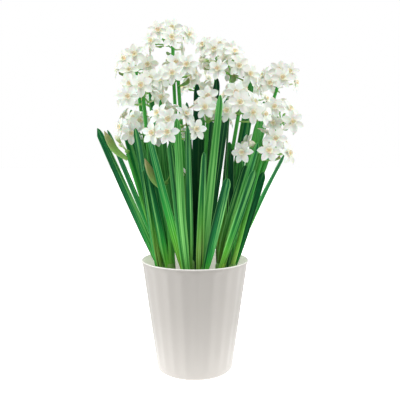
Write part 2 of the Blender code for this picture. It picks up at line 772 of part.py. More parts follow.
def add_bud(floret, collection):
    """A floret still shut: a slim spindle on its pedicel."""
    arm = floret.facing.orthogonal().normalized()
    head = floret.centre - floret.facing * 3 * MM
    rows = [(head, floret.facing, BUD_RADIUS)] + stalk_rows(floret)
    builder = bmesh.new()
    skin(builder, stalk_rings(floret, arm, rows),
         start_point=floret.centre + floret.facing * BUD_LENGTH * 0.35)
    return object_from("bud", builder, collection)


def make_umbel(index, florets, collection, pieces):
    """The florets and buds of one head, on pedicels that meet in a small hub."""
    hub = Vector(SHOOTS[index].umbel) * MM
    radius = HUB_RADIUS
    rings = []
    for height, share in ((-HUB_HEIGHT / 2, 1.0), (HUB_HEIGHT / 2, 0.9)):
        rings.append(ring_points(hub + Vector((0, 0, height)), Vector((radius * share, 0, 0)),
                                 Vector((0, radius * share, 0)), 4))
    builder = bmesh.new()
    skin(builder, rings)
    umbel = object_from(f"umbel_{index + 1:02d}", builder, collection)
    for floret in florets:
        if floret.shoot != index:
            continue
        if floret.is_bud:
            add_bud(floret, pieces)
        else:
            add_floret(floret, pieces)
    unite(umbel, pieces)
    return umbel


def main():
    for obj in list(bpy.data.objects):
        bpy.data.objects.remove(obj)
    plant = collection_named("potted_paperwhite")
    cutters = collection_named("cutters", hidden=True)
    pieces = collection_named("pieces")

    rng = np.random.default_rng(SEED)
    feet = shoot_feet()
    strands = plan_strands(feet, rng)
    levels, paths = settle_strands(strands)
    florets, spathes = place_florets(strands, levels, paths, rng)

    plastic = material_named("pot_plastic", (0.68, 0.65, 0.62), 0.4)
    soil = material_named("potting_mix", (0.06, 0.04, 0.03), 0.9)
    tunic = material_named("bulb_tunic", (0.25, 0.12, 0.05), 0.6)
    green = material_named("leaf_green", (0.05, 0.25, 0.06), 0.5)
    white = material_named("petal_white", (0.85, 0.85, 0.8), 0.7)

    make_pot(plant).data.materials.append(plastic)
    make_potting_mix(plant, cutters).data.materials.append(soil)
    for bulb in make_bulbs(plant):
        bulb.data.materials.append(tunic)
    for index, foot in enumerate(feet):
        shoot = make_shoot(index, foot, strands, levels, paths, spathes[index], plant, pieces)
        shoot.data.materials.append(green)
        umbel = make_umbel(index, florets, plant, pieces)
        umbel.data.materials.append(white)


main()
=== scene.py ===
# %% [markdown]
# # Paperwhite narcissus in a pot
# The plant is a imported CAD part: one solid for the pot, the potting mix, each bulb, each shoot
# and each umbel. This lesson dresses it. Every solid is replaced by finer pieces that keep its
# place and its form, because leaves and petals are far thinner and softer than a CAD solid can
# say. The frame is loaded first, and its box is kept so that the sizes can be compared later.

# %% Load the frame
import math
from collections import namedtuple

import bpy
import numpy as np
from mathutils import Matrix, Quaternion, Vector, noise


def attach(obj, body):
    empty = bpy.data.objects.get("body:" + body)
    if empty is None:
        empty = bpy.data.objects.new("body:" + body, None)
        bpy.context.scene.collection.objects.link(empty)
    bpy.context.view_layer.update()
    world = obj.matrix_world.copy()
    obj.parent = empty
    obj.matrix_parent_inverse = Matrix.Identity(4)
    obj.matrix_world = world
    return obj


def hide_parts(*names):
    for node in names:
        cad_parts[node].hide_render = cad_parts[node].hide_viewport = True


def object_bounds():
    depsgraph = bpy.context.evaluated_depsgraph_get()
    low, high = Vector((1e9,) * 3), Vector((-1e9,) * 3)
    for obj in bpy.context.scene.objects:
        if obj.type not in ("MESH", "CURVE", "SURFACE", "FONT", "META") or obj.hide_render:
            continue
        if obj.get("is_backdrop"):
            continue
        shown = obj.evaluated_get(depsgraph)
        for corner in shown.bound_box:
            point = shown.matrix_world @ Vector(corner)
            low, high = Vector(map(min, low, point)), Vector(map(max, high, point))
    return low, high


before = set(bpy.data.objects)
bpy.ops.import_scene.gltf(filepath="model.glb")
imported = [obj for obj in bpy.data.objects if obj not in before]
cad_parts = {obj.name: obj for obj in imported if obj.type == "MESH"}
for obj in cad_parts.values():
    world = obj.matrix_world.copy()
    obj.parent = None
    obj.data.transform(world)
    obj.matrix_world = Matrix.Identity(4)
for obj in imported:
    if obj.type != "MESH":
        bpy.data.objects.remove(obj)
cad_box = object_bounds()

MM = 0.001
print("nodes in the frame:", len(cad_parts))

# %% [markdown]
# ## The camera
# A pot plant is looked at from a little above its own middle. A camera object holds the place,
# the tilt and the lens. A level camera would hide the rim's ellipse, so this one looks down by
# a few degrees.

# %% The camera
CAMERA_PLACE = (0.00726, -0.7053, 0.2907)
CAMERA_DIP = 0.0747
CAMERA_LENS = 45.48
CAMERA_SENSOR = 36
NEAREST_SEEN = 0.01


def clear_selection():
    """Nothing selected, so that the next operator acts on the new piece alone."""
    bpy.ops.object.select_all(action="DESELECT")


clear_selection()
bpy.ops.object.camera_add(location=CAMERA_PLACE, rotation=(math.pi / 2 - CAMERA_DIP, 0, 0))
camera = bpy.context.object
camera.data.lens = CAMERA_LENS
camera.data.sensor_width = CAMERA_SENSOR
camera.data.clip_start = NEAREST_SEEN
bpy.context.scene.camera = camera
print("camera at", [round(value, 3) for value in camera.location])

# %% [markdown]
# ## Soft studio light
# White petals on a white ground need light that is soft but not even: large panels level with
# the plant at the left and the right, a smaller one overhead, and a pale room round them. The
# side panels leave the middle of the pot and the inside of the clump darker, which rounds both.
# A panel lamp gives broad soft shadows. A point lamp or the sun would draw hard ones. The
# camera sees the room as white, but the plant gets less than half of that light from it.

# %% Panels of light and the room
PANELS = (
    # name, place, size, power
    ("left_panel", (-1.25, -0.15, 0.5), 0.8, 8.5),
    ("right_panel", (1.25, -0.05, 0.45), 0.8, 8),
    ("top_panel", (-0.1, -0.4, 1.5), 0.6, 9),
)
PANEL_AIM = Vector((0, 0, 0.25))
ROOM_LIGHT = 0.45

for name, place, size, power in PANELS:
    clear_selection()
    bpy.ops.object.light_add(type="AREA", location=place)
    panel = bpy.context.object
    panel.name = name
    panel.data.size = size
    panel.data.energy = power
    panel.rotation_euler = (PANEL_AIM - Vector(place)).to_track_quat("-Z", "Y").to_euler()

room = bpy.data.worlds.new("pale_room")
bpy.context.scene.world = room
room.use_nodes = True
nodes, links = room.node_tree.nodes, room.node_tree.links
sky = nodes["Background"]
rays = nodes.new("ShaderNodeLightPath")
strength = nodes.new("ShaderNodeMapRange")
strength.inputs["To Min"].default_value = ROOM_LIGHT
strength.inputs["To Max"].default_value = 1.0
links.new(rays.outputs["Is Camera Ray"], strength.inputs["Value"])
links.new(strength.outputs["Result"], sky.inputs["Strength"])
sky.inputs["Color"].default_value = (1, 1, 1, 1)
bpy.context.scene.view_settings.view_transform = "Standard"
print("panels:", len(PANELS), "room light on the plant:", ROOM_LIGHT)

# %% [markdown]
# ## Helpers for modelling
# A round body can be spun from a profile or raised ring by ring. Raising it shows each step: a
# circle is added, then it is extruded to the next height and resized there, over and over. A
# leaf or a papery tongue starts as a flat block: a grid that is extruded by one thickness.
# Copies are placed through their meshes, so every finished object stays at the origin.

# %% Helpers that make the first bodies
def raise_rings(name, profile, steps, middle=(0, 0)):
    """A closed round body: a filled circle at the first (radius, height), raised to the others."""
    clear_selection()
    (radius, height), *others = profile
    x, y = middle
    bpy.ops.mesh.primitive_circle_add(vertices=steps, radius=radius, fill_type="NGON",
                                      location=(x, y, height))
    body = bpy.context.object
    body.name = name
    bpy.ops.object.transform_apply(location=True, rotation=True, scale=True)
    bpy.ops.object.mode_set(mode="EDIT")
    bpy.ops.mesh.select_all(action="SELECT")
    for next_radius, next_height in others:
        rise = (0, 0, next_height - height)
        bpy.ops.mesh.extrude_region_move(TRANSFORM_OT_translate={"value": rise})
        growth = next_radius / radius
        bpy.ops.transform.resize(value=(growth, growth, 1), center_override=(x, y, next_height))
        radius, height = next_radius, next_height
    bpy.ops.mesh.select_all(action="SELECT")
    bpy.ops.mesh.normals_make_consistent(inside=False)
    bpy.ops.object.mode_set(mode="OBJECT")
    return body


def flat_block(name, columns, rows):
    """A closed block from a grid, 2 wide and 2 long, extruded by 1."""
    clear_selection()
    bpy.ops.mesh.primitive_grid_add(x_subdivisions=columns, y_subdivisions=rows, size=2)
    block = bpy.context.object
    block.name = name
    bpy.ops.object.mode_set(mode="EDIT")
    bpy.ops.mesh.select_all(action="SELECT")
    bpy.ops.mesh.extrude_region_move(TRANSFORM_OT_translate={"value": (0, 0, 1)})
    bpy.ops.mesh.select_all(action="SELECT")
    bpy.ops.mesh.normals_make_consistent(inside=False)
    bpy.ops.object.mode_set(mode="OBJECT")
    return block


def upright_cylinder(name, rows, steps):
    """A cylinder of radius 1 and height 1, with a ring for each of its rows."""
    return raise_rings(name, [(1.0, row / rows) for row in range(rows + 1)], steps)


print("makers ready: rings, flat block, upright cylinder")

# %% Helpers that read, move and mark the points of a piece
def points_of(piece):
    """The places of a piece's vertices, as rows of three numbers."""
    points = np.empty(len(piece.data.vertices) * 3)
    piece.data.vertices.foreach_get("co", points)
    return points.reshape(-1, 3)


def set_points(piece, points):
    """Move a piece's vertices to new places."""
    piece.data.vertices.foreach_set("co", np.asarray(points, float).ravel())
    piece.data.update()


def mark_growth(piece, across, along, chance):
    """Keep on each vertex where it is across and along its leaf or stem, and a chance number."""
    growth = piece.data.attributes.new("growth", "FLOAT_VECTOR", "POINT")
    values = np.empty((len(piece.data.vertices), 3))
    values[:, 0], values[:, 1], values[:, 2] = across, along, chance
    growth.data.foreach_set("vector", values.ravel())


print("point helpers ready")

# %% Helpers that copy, join and finish pieces
def copy_of(piece, matrix=None):
    """Another one of the piece with its own mesh, moved by the matrix."""
    twin = piece.copy()
    twin.data = piece.data.copy()
    bpy.context.collection.objects.link(twin)
    if matrix is not None:
        twin.data.transform(matrix)
    return twin


def joined(name, parts, angle=40):
    """One piece from several, shaded smooth except across sharp edges."""
    clear_selection()
    for part in parts:
        part.select_set(True)
    bpy.context.view_layer.objects.active = parts[0]
    if len(parts) > 1:
        bpy.ops.object.join()
    piece = bpy.context.object
    piece.name = name
    piece.data.name = name
    bpy.ops.object.shade_smooth_by_angle(angle=math.radians(angle))
    return piece


def put_away(*originals):
    """Remove the pieces that others were copied from."""
    for original in originals:
        bpy.data.objects.remove(original)


def finish_piece(piece, material, slot, *solids):
    """Give a piece its finish, and let it stand for its CAD solids on the part's one body.

    A few petals and tips reach a hair past the part's box, so they are pressed back into it.
    """
    set_points(piece, np.clip(points_of(piece), *cad_box))
    piece.data.materials.clear()
    piece.data.materials.append(material)
    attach(piece, "root")
    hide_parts(*solids)


print("piece helpers ready")

# %% [markdown]
# ## Where the leaves, stems and flowers go
# A potful of narcissus looks random, but nothing in it passes through anything else. The CAD
# source settled that: it bends the leaves and stems clear of each other, and turns each flower
# to a free spot. The same rules with the same seed give the same places here, so each fine
# piece falls exactly on its solid. First come the sizes that all the places depend on, and the
# table of shoots.

# %% Sizes that the places depend on
GAP = 0.3 * MM
POT_HEIGHT = 155 * MM
POT_RIM_RADIUS = 75 * MM
POT_WALL = 3 * MM
MIX_TOP = 115 * MM
BULB_TOP = MIX_TOP + 14 * MM
SHEATH_RADIUS = 5.0 * MM
SHEATH_HEIGHT = 25 * MM
STEM_RADIUS = 2.9 * MM
HUB_HEIGHT = 5 * MM
print("pot height in mm:", round(POT_HEIGHT / MM))

# %% The table of shoots
# Each shoot: its bulb (0 is the middle one, 1 to 6 go round the ring from the right at the
# back), where its umbel stands, its open florets and buds, and the tips of its outer leaves.
Shoot = namedtuple("Shoot", "bulb umbel florets buds leaves")
SHOOTS = (
    Shoot(0, (-39, 18, 455), 11, 1, ((-62, 0, 371),)),
    Shoot(0, (-22, -20, 402), 10, 0, ((3, 20, 402),)),
    Shoot(0, (50, -12, 408), 9, 0, ((31, 0, 406),)),
    Shoot(1, (119, 26, 402), 9, 0, ((104, 22, 372),)),
    Shoot(1, (80, 72, 385), 6, 0, ((80, 14, 405),)),
    Shoot(2, (33, 42, 437), 11, 1, ((46, 34, 383),)),
    Shoot(2, (5, 92, 400), 6, 0, ()),
    Shoot(3, (-86, 44, 424), 10, 0, ((-67, 40, 424),)),
    Shoot(3, (-80, 8, 331), 8, 0, ((-123, 15, 336), (-95, 32, 340))),
    Shoot(3, (-66, 88, 372), 6, 0, ()),
    Shoot(4, (-67, -36, 377), 10, 0, ((-64, -70, 281), (-79, -30, 336))),
    Shoot(4, (-90, -26, 305), 0, 2, ((-132, -12, 337),)),
    Shoot(4, (-37, -54, 264), 1, 0, ((-62, -60, 290),)),
    Shoot(5, (-27, -74, 329), 10, 0, ((-29, -86, 315),)),
    Shoot(5, (17, -60, 342), 9, 0, ((12, -95, 303), (41, -90, 271))),
    Shoot(6, (117, -14, 345), 7, 0, ((121, -12, 301), (93, -20, 372))),
    Shoot(6, (87, -62, 303), 8, 1, ((87, -57, 278), (60, -42, 294))),
    Shoot(6, (56, -64, 352), 10, 1, ((74, -80, 281), (66, -62, 287))),
)
print("shoots:", len(SHOOTS), "open flowers:", sum(shoot.florets for shoot in SHOOTS))

# %% [markdown]
# Each bulb carries two or three shoots round its neck, on the side that each one leans to.
# Each shoot has one flower stem and three or four leaves, fanned out so that they start apart.

# %% Where the bulbs stand and the shoots start
BULB_RING_RADIUS = 45 * MM
BULB_RING_COUNT = 6
FIRST_BULB_ANGLE = 30
SHOOT_SPACING = 8.3 * MM


def bulb_places():
    """The middle bulb, then the ring."""
    places = [Vector((0, 0, BULB_TOP))]
    for number in range(BULB_RING_COUNT):
        angle = math.radians(FIRST_BULB_ANGLE + number * 360 / BULB_RING_COUNT)
        places.append(Vector((BULB_RING_RADIUS * math.cos(angle),
                              BULB_RING_RADIUS * math.sin(angle), BULB_TOP)))
    return places


def fan_out(leans):
    """Evenly spaced directions round a middle, each given to the lean that it suits best."""
    mean = math.atan2(sum(map(math.sin, leans)), sum(map(math.cos, leans)))
    sides = [(lean - mean + math.pi) % math.tau - math.pi for lean in leans]
    order = sorted(range(len(leans)), key=sides.__getitem__)
    step = math.tau / len(leans)
    misfits = [sides[member] - place * step for place, member in enumerate(order)]
    start = mean + math.atan2(sum(map(math.sin, misfits)), sum(map(math.cos, misfits)))
    directions = [0.0] * len(leans)
    for place, member in enumerate(order):
        directions[member] = start + place * step
    return directions


def direction_between(start, end):
    """The level direction from one place to another, as an angle."""
    return math.atan2(end[1] - start[1], end[0] - start[0])


def shoot_feet():
    """Where each shoot stands on its bulb: round the neck, on the side it leans to."""
    feet = [None] * len(SHOOTS)
    for number, place in enumerate(bulb_places()):
        members = [index for index, shoot in enumerate(SHOOTS) if shoot.bulb == number]
        leans = [direction_between(place, Vector(SHOOTS[index].umbel) * MM) for index in members]
        for index, angle in zip(members, fan_out(leans)):
            feet[index] = place + Vector((SHOOT_SPACING * math.cos(angle),
                                          SHOOT_SPACING * math.sin(angle), GAP))
    return feet


print("bulbs:", len(bulb_places()), "feet:", len(shoot_feet()))

# %% Plan the stems and the leaves
SEED = 6
LEAVES_PER_SHOOT = (4, 3)
LEAF_WIDTHS = (9.5 * MM, 12.5 * MM)
LEAF_START = 2.6
LEAF_TWIST = 0.8
FACING_SPREAD = 0.4
FREE_TIP_REACH = 1.75
FREE_TIP_SPREAD = 24 * MM
FREE_TIP_HEIGHTS = (305, 385)

Strand = namedtuple("Strand", "shoot is_leaf foot end width facing twist")


def leaf_facing(outward, rng):
    """A leaf looks outwards, but is half turned to show its flat side to the front or back."""
    to_front = (math.pi - outward) % math.pi - math.pi / 2
    return outward + to_front / 2 + rng.uniform(-FACING_SPREAD, FACING_SPREAD)


def plan_strands(feet, rng):
    """One stem and three or four leaves for each shoot, with a foot, an end and a width."""
    strands = []
    for index, shoot in enumerate(SHOOTS):
        foot = feet[index]
        hub = Vector(shoot.umbel) * MM
        strands.append(Strand(index, False, foot, hub, 2 * STEM_RADIUS, 0.0, 0.0))
        tips = [Vector(tip) * MM for tip in shoot.leaves]
        crowded = sum(other.bulb == shoot.bulb for other in SHOOTS) > 2
        while len(tips) < LEAVES_PER_SHOOT[crowded]:
            spread = rng.normal(0, FREE_TIP_SPREAD, 2)
            reach = foot.xy * FREE_TIP_REACH + Vector(spread)
            tips.append(Vector((reach.x, reach.y, rng.uniform(*FREE_TIP_HEIGHTS) * MM)))
        for tip, turn in zip(tips, fan_out([direction_between(foot, tip) for tip in tips])):
            start = foot + Vector((math.cos(turn), math.sin(turn), 0)) * LEAF_START * MM
            strands.append(Strand(index, True, start, tip, rng.uniform(*LEAF_WIDTHS),
                                  leaf_facing(turn, rng), rng.uniform(-LEAF_TWIST, LEAF_TWIST)))
    return strands


rng = np.random.default_rng(SEED)
strands = plan_strands(shoot_feet(), rng)
print("strands planned:", len(strands))

# %% [markdown]
# Growing leaves push each other aside. Here each leaf counts as three discs at every level and
# each stem as one, which is wider at its sheath and under its umbel. Discs that overlap push
# apart, round after round, until the strands stand clear of each other.

# %% The width of a leaf, and the straight stretches of a strand
SECTION_SHARES = (0.03, 0.22, 0.45, 0.7, 0.955, 1.0)
LEAF_SHAPE = (0.4, 0.86, 1.0, 0.97, 0.78)


def half_width(strand, share):
    """Half of a leaf's width at a share of its height, as a level direction and length."""
    angle = strand.facing + math.pi / 2 + strand.twist * share
    length = strand.width / 2 * np.interp(share, SECTION_SHARES[:-1], LEAF_SHAPE)
    return np.array((math.cos(angle), math.sin(angle))) * length


def straightened(path, levels, strands):
    """The strands as their solids follow them: straight between their sections."""
    result = path.copy()
    for row, strand in enumerate(strands):
        heights = strand.foot.z + np.array(SECTION_SHARES) * (strand.end.z - strand.foot.z)
        for axis in (0, 1):
            corners = np.interp(heights, levels, path[row, :, axis])
            inner = (levels >= heights[0]) & (levels <= heights[-1])
            result[row, inner, axis] = np.interp(levels[inner], heights, corners)
    return result


print("sections of a strand:", len(SECTION_SHARES))

# %% The discs of every strand at every level
LEVEL_STEP = 12 * MM
LEVELS = 28
UPRIGHT_SHARE = 0.75
LEAF_DISC_RADIUS = 2.0 * MM
LEAF_DISC_INSET = 1.8 * MM
LEAF_FOOT_HEIGHT = 20 * MM
STEM_CLEARANCE = 0.4 * MM
STEM_HELD_HEIGHT = 30 * MM
SHEATH_CLEARANCE = 1.0 * MM
SHEATH_MARGIN = 4 * MM
HEAD_CLEARANCE = 11 * MM
HEAD_BELOW = 8 * MM
HEAD_ABOVE = 24 * MM


def strand_discs(strands, levels):
    """Each strand's middle, its arm to a side disc, its discs' radius and how free it is."""
    path = np.zeros((len(strands), LEVELS, 2))
    side = np.zeros((len(strands), LEVELS, 2))
    radius = np.zeros((len(strands), LEVELS))
    free = np.zeros((len(strands), LEVELS))
    for row, strand in enumerate(strands):
        share = (levels - strand.foot.z) / (strand.end.z - strand.foot.z)
        bend = UPRIGHT_SHARE * share + (1 - UPRIGHT_SHARE) * share ** 2
        bend = np.where(share > 1, 1 + (share - 1) * (2 - UPRIGHT_SHARE), bend)
        start = np.array(strand.foot.xy)
        path[row] = start + np.outer(bend, np.array(strand.end.xy) - start)
        if strand.is_leaf:
            present = share < 1 + LEVEL_STEP / (strand.end.z - strand.foot.z)
            radius[row] = np.where(present, LEAF_DISC_RADIUS, 0)
            arms = np.array([half_width(strand, value) for value in share])
            length = np.linalg.norm(arms, axis=1)[:, None]
            side[row] = arms * np.clip(length - LEAF_DISC_INSET, 0, None) / length
            free[row] = np.clip((levels - strand.foot.z) / LEAF_FOOT_HEIGHT, 0, 1)
        else:
            below = strand.end.z - levels
            near = (below < HEAD_BELOW) & (below > -HEAD_ABOVE)
            radius[row] = np.where(near, HEAD_CLEARANCE, STEM_RADIUS + STEM_CLEARANCE)
            radius[row][below < -HEAD_ABOVE] = 0
            sheathed = levels < strand.foot.z + SHEATH_HEIGHT + SHEATH_MARGIN
            radius[row][sheathed] = SHEATH_RADIUS + SHEATH_CLEARANCE
            free[row] = np.where(sheathed, 0, np.clip(below / STEM_HELD_HEIGHT, 0, 1))
    return path, side, radius, free


levels = BULB_TOP + GAP + LEVEL_STEP * np.arange(LEVELS)
print("levels from", round(levels[0] / MM), "to", round(levels[-1] / MM), "mm")

# %% Settle the strands
SETTLE_ROUNDS = 240
SETTLE_REACH = 20 * MM
STRAND_CLEARANCE = 1.0 * MM
PUSH_SHARE = 0.3
LEAST_SPREAD = 1.8
FIRST_SPREAD = 6
SPREAD_FADE = 1.5
FREE_ROUNDS = SETTLE_ROUNDS / 3
PARTING_START = 0.8 * SHEATH_HEIGHT
PARTING_HEIGHT = 28 * MM
RIM_CLEARANCE = 8 * MM
RIM_MARGIN = 5 * MM
DISC_STEPS = np.array((-1.0, 0.0, 1.0))[:, None]


def push_level(push, level, path, side, radius, shoot):
    """Push the overlapping discs of one level apart, and tell how deep their overlap is."""
    middle = path[:, level]
    apart = np.clip((levels[level] - BULB_TOP - PARTING_START) / PARTING_HEIGHT, 0, 1)
    here = np.nonzero(radius[:, level] > 0)[0]
    gaps = np.linalg.norm(middle[here][:, None] - middle[here][None, :], axis=2)
    first, second = np.nonzero(np.triu(gaps < SETTLE_REACH, 1))
    first, second = here[first], here[second]
    first_discs = middle[first][:, None] + DISC_STEPS * side[first, level][:, None]
    second_discs = middle[second][:, None] + DISC_STEPS * side[second, level][:, None]
    away = first_discs[:, :, None] - second_discs[:, None]
    distance = np.hypot(away[..., 0], away[..., 1]) + 1e-7
    wanted = radius[first, level] + radius[second, level] + STRAND_CLEARANCE
    wanted = wanted * np.where(shoot[first] == shoot[second], apart, 1.0)
    overlap = np.clip(wanted[:, None, None] - distance, 0, None)
    shove = (away / distance[..., None] * overlap[..., None]).sum(axis=(1, 2)) * PUSH_SHARE
    np.add.at(push[:, level], first, shove)
    np.add.at(push[:, level], second, -shove)
    return overlap[shoot[first] != shoot[second]].max(initial=0.0)


def keep_in_pot(push, level, path):
    """Push the strands of a level below the rim back inside the pot."""
    middle = path[:, level]
    limit = POT_RIM_RADIUS - POT_WALL - RIM_CLEARANCE
    length = np.linalg.norm(middle, axis=1)
    excess = np.clip(length - limit, 0, None) / np.maximum(length, MM)
    push[:, level] -= middle * excess[:, None]


def settle_strands(strands, levels):
    """Bend the strands clear of each other, level by level, between their feet and ends.

    A push at one level is spread to its neighbours, widely at first and then less and less.
    """
    path, side, radius, free = strand_discs(strands, levels)
    shoot = np.array([strand.shoot for strand in strands])
    steps = np.arange(LEVELS)
    for turn in range(SETTLE_ROUNDS):
        reach_along = LEAST_SPREAD + FIRST_SPREAD * max(0, 1 - SPREAD_FADE * turn / SETTLE_ROUNDS)
        spread = np.exp(-((steps[:, None] - steps[None, :]) / reach_along) ** 2)
        spread /= spread.sum(axis=1)[:, None]
        if turn > FREE_ROUNDS:
            path = straightened(path, levels, strands)
        push = np.zeros_like(path)
        worst = 0.0
        for level in range(1, LEVELS):
            worst = max(worst, push_level(push, level, path, side, radius, shoot))
            if levels[level] < POT_HEIGHT + RIM_MARGIN:
                keep_in_pot(push, level, path)
        path += np.einsum("kl,slc->skc", spread, push) * free[..., None]
    path = straightened(path, levels, strands)
    print(f"strands settled: {len(strands)}, deepest overlap left {worst / MM:.2f} mm")
    return path


paths = settle_strands(strands, levels)

# %% [markdown]
# The flowers of an umbel face outwards from one point. Each one is tried at chance directions
# until its petals and its stalk are clear of every leaf, stem and flower already there. To
# test that, all of them are covered with balls, and two things are clear of each other when
# none of their balls meet.

# %% Balls that cover the stems and the leaves
COVER_STEP = 5 * MM
LEAF_BALL_RADIUS = 1.9 * MM
LEAF_BALL_SHARE = 0.7


def strand_point(levels, path, height):
    """The point of a settled strand at a height."""
    return Vector((np.interp(height, levels, path[:, 0]),
                   np.interp(height, levels, path[:, 1]), height))


def strand_cloud(strands, levels, paths):
    """Points with a radius and a shoot number, every few millimetres along each strand."""
    points = []
    for row, strand in enumerate(strands):
        top = strand.end.z - (HUB_HEIGHT if not strand.is_leaf else 0)
        for height in np.arange(strand.foot.z, top, COVER_STEP):
            middle = strand_point(levels, paths[row], height)
            if not strand.is_leaf:
                points.append((*middle, STEM_RADIUS, strand.shoot))
                continue
            share = (height - strand.foot.z) / (strand.end.z - strand.foot.z)
            wide = half_width(strand, share) * LEAF_BALL_SHARE
            for step in (-1, 0, 1):
                points.append((middle.x + wide[0] * step, middle.y + wide[1] * step, height,
                               LEAF_BALL_RADIUS, strand.shoot))
    return np.array(points)


def is_clear(balls, others, margin):
    """True where no ball comes within the margin of the others."""
    if not len(others):
        return True
    balls = np.array(balls)
    away = balls[:, None, :3] - others[None, :, :3]
    distance = np.sqrt((away ** 2).sum(axis=2))
    return bool((distance > balls[:, None, 3] + others[None, :, 3] + margin).all())


taken = strand_cloud(strands, levels, paths)
print("balls on the strands:", len(taken))

# %% Place the spathes
SPATHE_LENGTH = 32 * MM
SPATHE_WIDTH = 8 * MM
SPATHE_DROP = 8 * MM
SPATHE_RISE = 0.2
SPATHE_MARGIN = 0.8 * MM
SPATHE_KNOTS = (0.0, 0.4, 0.7, 1.0)
SPATHE_SHAPE = (0.35, 0.95, 0.9, 0.1)
SPATHE_TURNS = (75, -75, 105, -105, 45, -45, 140, -140, 180, 0)
SWOLLEN_SHAPE = (0.5, 0.95, 1.0, 0.1)
SWOLLEN_SPATHE_RADIUS = 5.2 * MM
SWOLLEN_BEND = 0.7
SWOLLEN_CURVE = 1.2
# By place in the table: the spathes that are still shut, with the reach of each from its stem.
SWOLLEN_SPATHES = {11: (-31, 2, 38), 12: (-26, -8, 42)}
CLEARANCE = 0.3 * MM


def spathe_rows(index, turn):
    """The spathe's middle line and half widths: out from the stem under the hub, then up."""
    hub = Vector(SHOOTS[index].umbel) * MM
    start = hub - Vector((0, 0, HUB_HEIGHT / 2 + SPATHE_DROP))
    if index in SWOLLEN_SPATHES:
        across_x, across_y, rise = (length * MM for length in SWOLLEN_SPATHES[index])
        side = Vector((across_x, across_y, 0))
        return [(start + (side * share ** SWOLLEN_BEND
                          + Vector((0, 0, rise * share ** SWOLLEN_CURVE))),
                 SWOLLEN_SPATHE_RADIUS * width)
                for share, width in zip(SPATHE_KNOTS, SWOLLEN_SHAPE)]
    outward = Vector((hub.x, hub.y, 0)).normalized()
    side = Matrix.Rotation(math.radians(turn), 3, "Z") @ outward * SPATHE_LENGTH
    rise = SPATHE_LENGTH * SPATHE_RISE
    return [(start + (side * math.sin(share * math.pi / 2) + Vector((0, 0, rise * share ** 2))),
             SPATHE_WIDTH / 2 * width) for share, width in zip(SPATHE_KNOTS, SPATHE_SHAPE)]


def place_spathes(taken):
    """Turn each spathe to the first side where it is clear of the other shoots."""
    spathes = []
    for index in range(len(SHOOTS)):
        others = taken[taken[:, 4] != index]
        for turn in SPATHE_TURNS:
            rows = spathe_rows(index, turn if index % 2 else -turn)
            balls = [(*here, half + SPATHE_MARGIN) for here, half in rows]
            for (here, half), (ahead, ahead_half) in zip(rows, rows[1:]):
                balls.append((*here.lerp(ahead, 0.5), (half + ahead_half) / 2 + SPATHE_MARGIN))
            if is_clear(balls, others, CLEARANCE):
                break
        spathes.append(rows)
        taken = np.vstack([taken, [(*ball, index) for ball in balls]])
    return spathes, taken


spathes, taken = place_spathes(taken)
print("spathes placed:", len(spathes))

# %% Balls that cover a flower
FLORET_RADIUS = 15 * MM
CUP_BALL_LIFT = 1.5
CUP_BALL_RADIUS = 4.3 * MM
PETAL_BALLS = 12
PETAL_BALL = (0.55, 0.26)
TIP_BALL = (0.86, 0.14)
STALK_BALL_STEP = 3 * MM


def floret_turn(facing, roll):
    """The rotation that points a floret's +Z where it faces and rolls it round that line."""
    return facing.to_track_quat("Z", "Y").to_matrix() @ Matrix.Rotation(roll, 3, "Z")


def disc_points(centre, facing, size, roll):
    """Balls that cover an open floret: its cup, the middle of its petals and their tips."""
    turn = floret_turn(facing, roll)
    balls = [(*(centre + facing * CUP_BALL_LIFT * MM), CUP_BALL_RADIUS)]
    for number in range(PETAL_BALLS):
        angle = math.tau * number / PETAL_BALLS
        arm = turn @ Vector((math.cos(angle), math.sin(angle), 0))
        reach, ball = TIP_BALL if number % 2 else PETAL_BALL
        balls.append((*(centre + arm * (FLORET_RADIUS * size * reach)),
                      FLORET_RADIUS * size * ball))
    return balls


def line_points(start, end, radius):
    """Balls along a straight line."""
    steps = max(2, int((end - start).length / STALK_BALL_STEP))
    return [(*start.lerp(end, step / steps), radius) for step in range(steps + 1)]


print("balls on a flower:", PETAL_BALLS + 1)

# %% One flower or bud, tried at chance
HUB_RADIUS = 3.4 * MM
HUB_MARGIN = 3 * MM
BUD_RADIUS = 3.3 * MM
TUBE_RADIUS = 1.8 * MM
TUBE_LENGTH = 11 * MM
PEDICEL_LENGTHS = (13 * MM, 23 * MM)
PEDICEL_GROWTH = 0.01 * MM
FLORET_SIZES = (0.92, 1.04)
AXIS_PULL = (0.2, 1.1)
LOWEST_FLORET_TILT = -0.3
LIGHT = Vector((0, -1, 0.15)).normalized()
TURN_TO_LIGHT = (math.radians(22), math.radians(68))
FRONT_PULL = 0.3
HEIGHT_SHARE = 0.25
FACING_LIFT = 0.1
SHARPEST_BEND = math.radians(84)

Floret = namedtuple("Floret", "shoot hub bend centre facing size is_bud roll")


def floret_facing(direction, most_turn):
    """A floret looks outwards, but turns as far as it can towards the light at the front."""
    outward = Vector((direction.x, direction.y - FRONT_PULL,
                      HEIGHT_SHARE * direction.z + FACING_LIFT))
    outward.normalize()
    turn = outward.rotation_difference(LIGHT)
    return Quaternion(turn.axis, min(turn.angle, most_turn)) @ outward


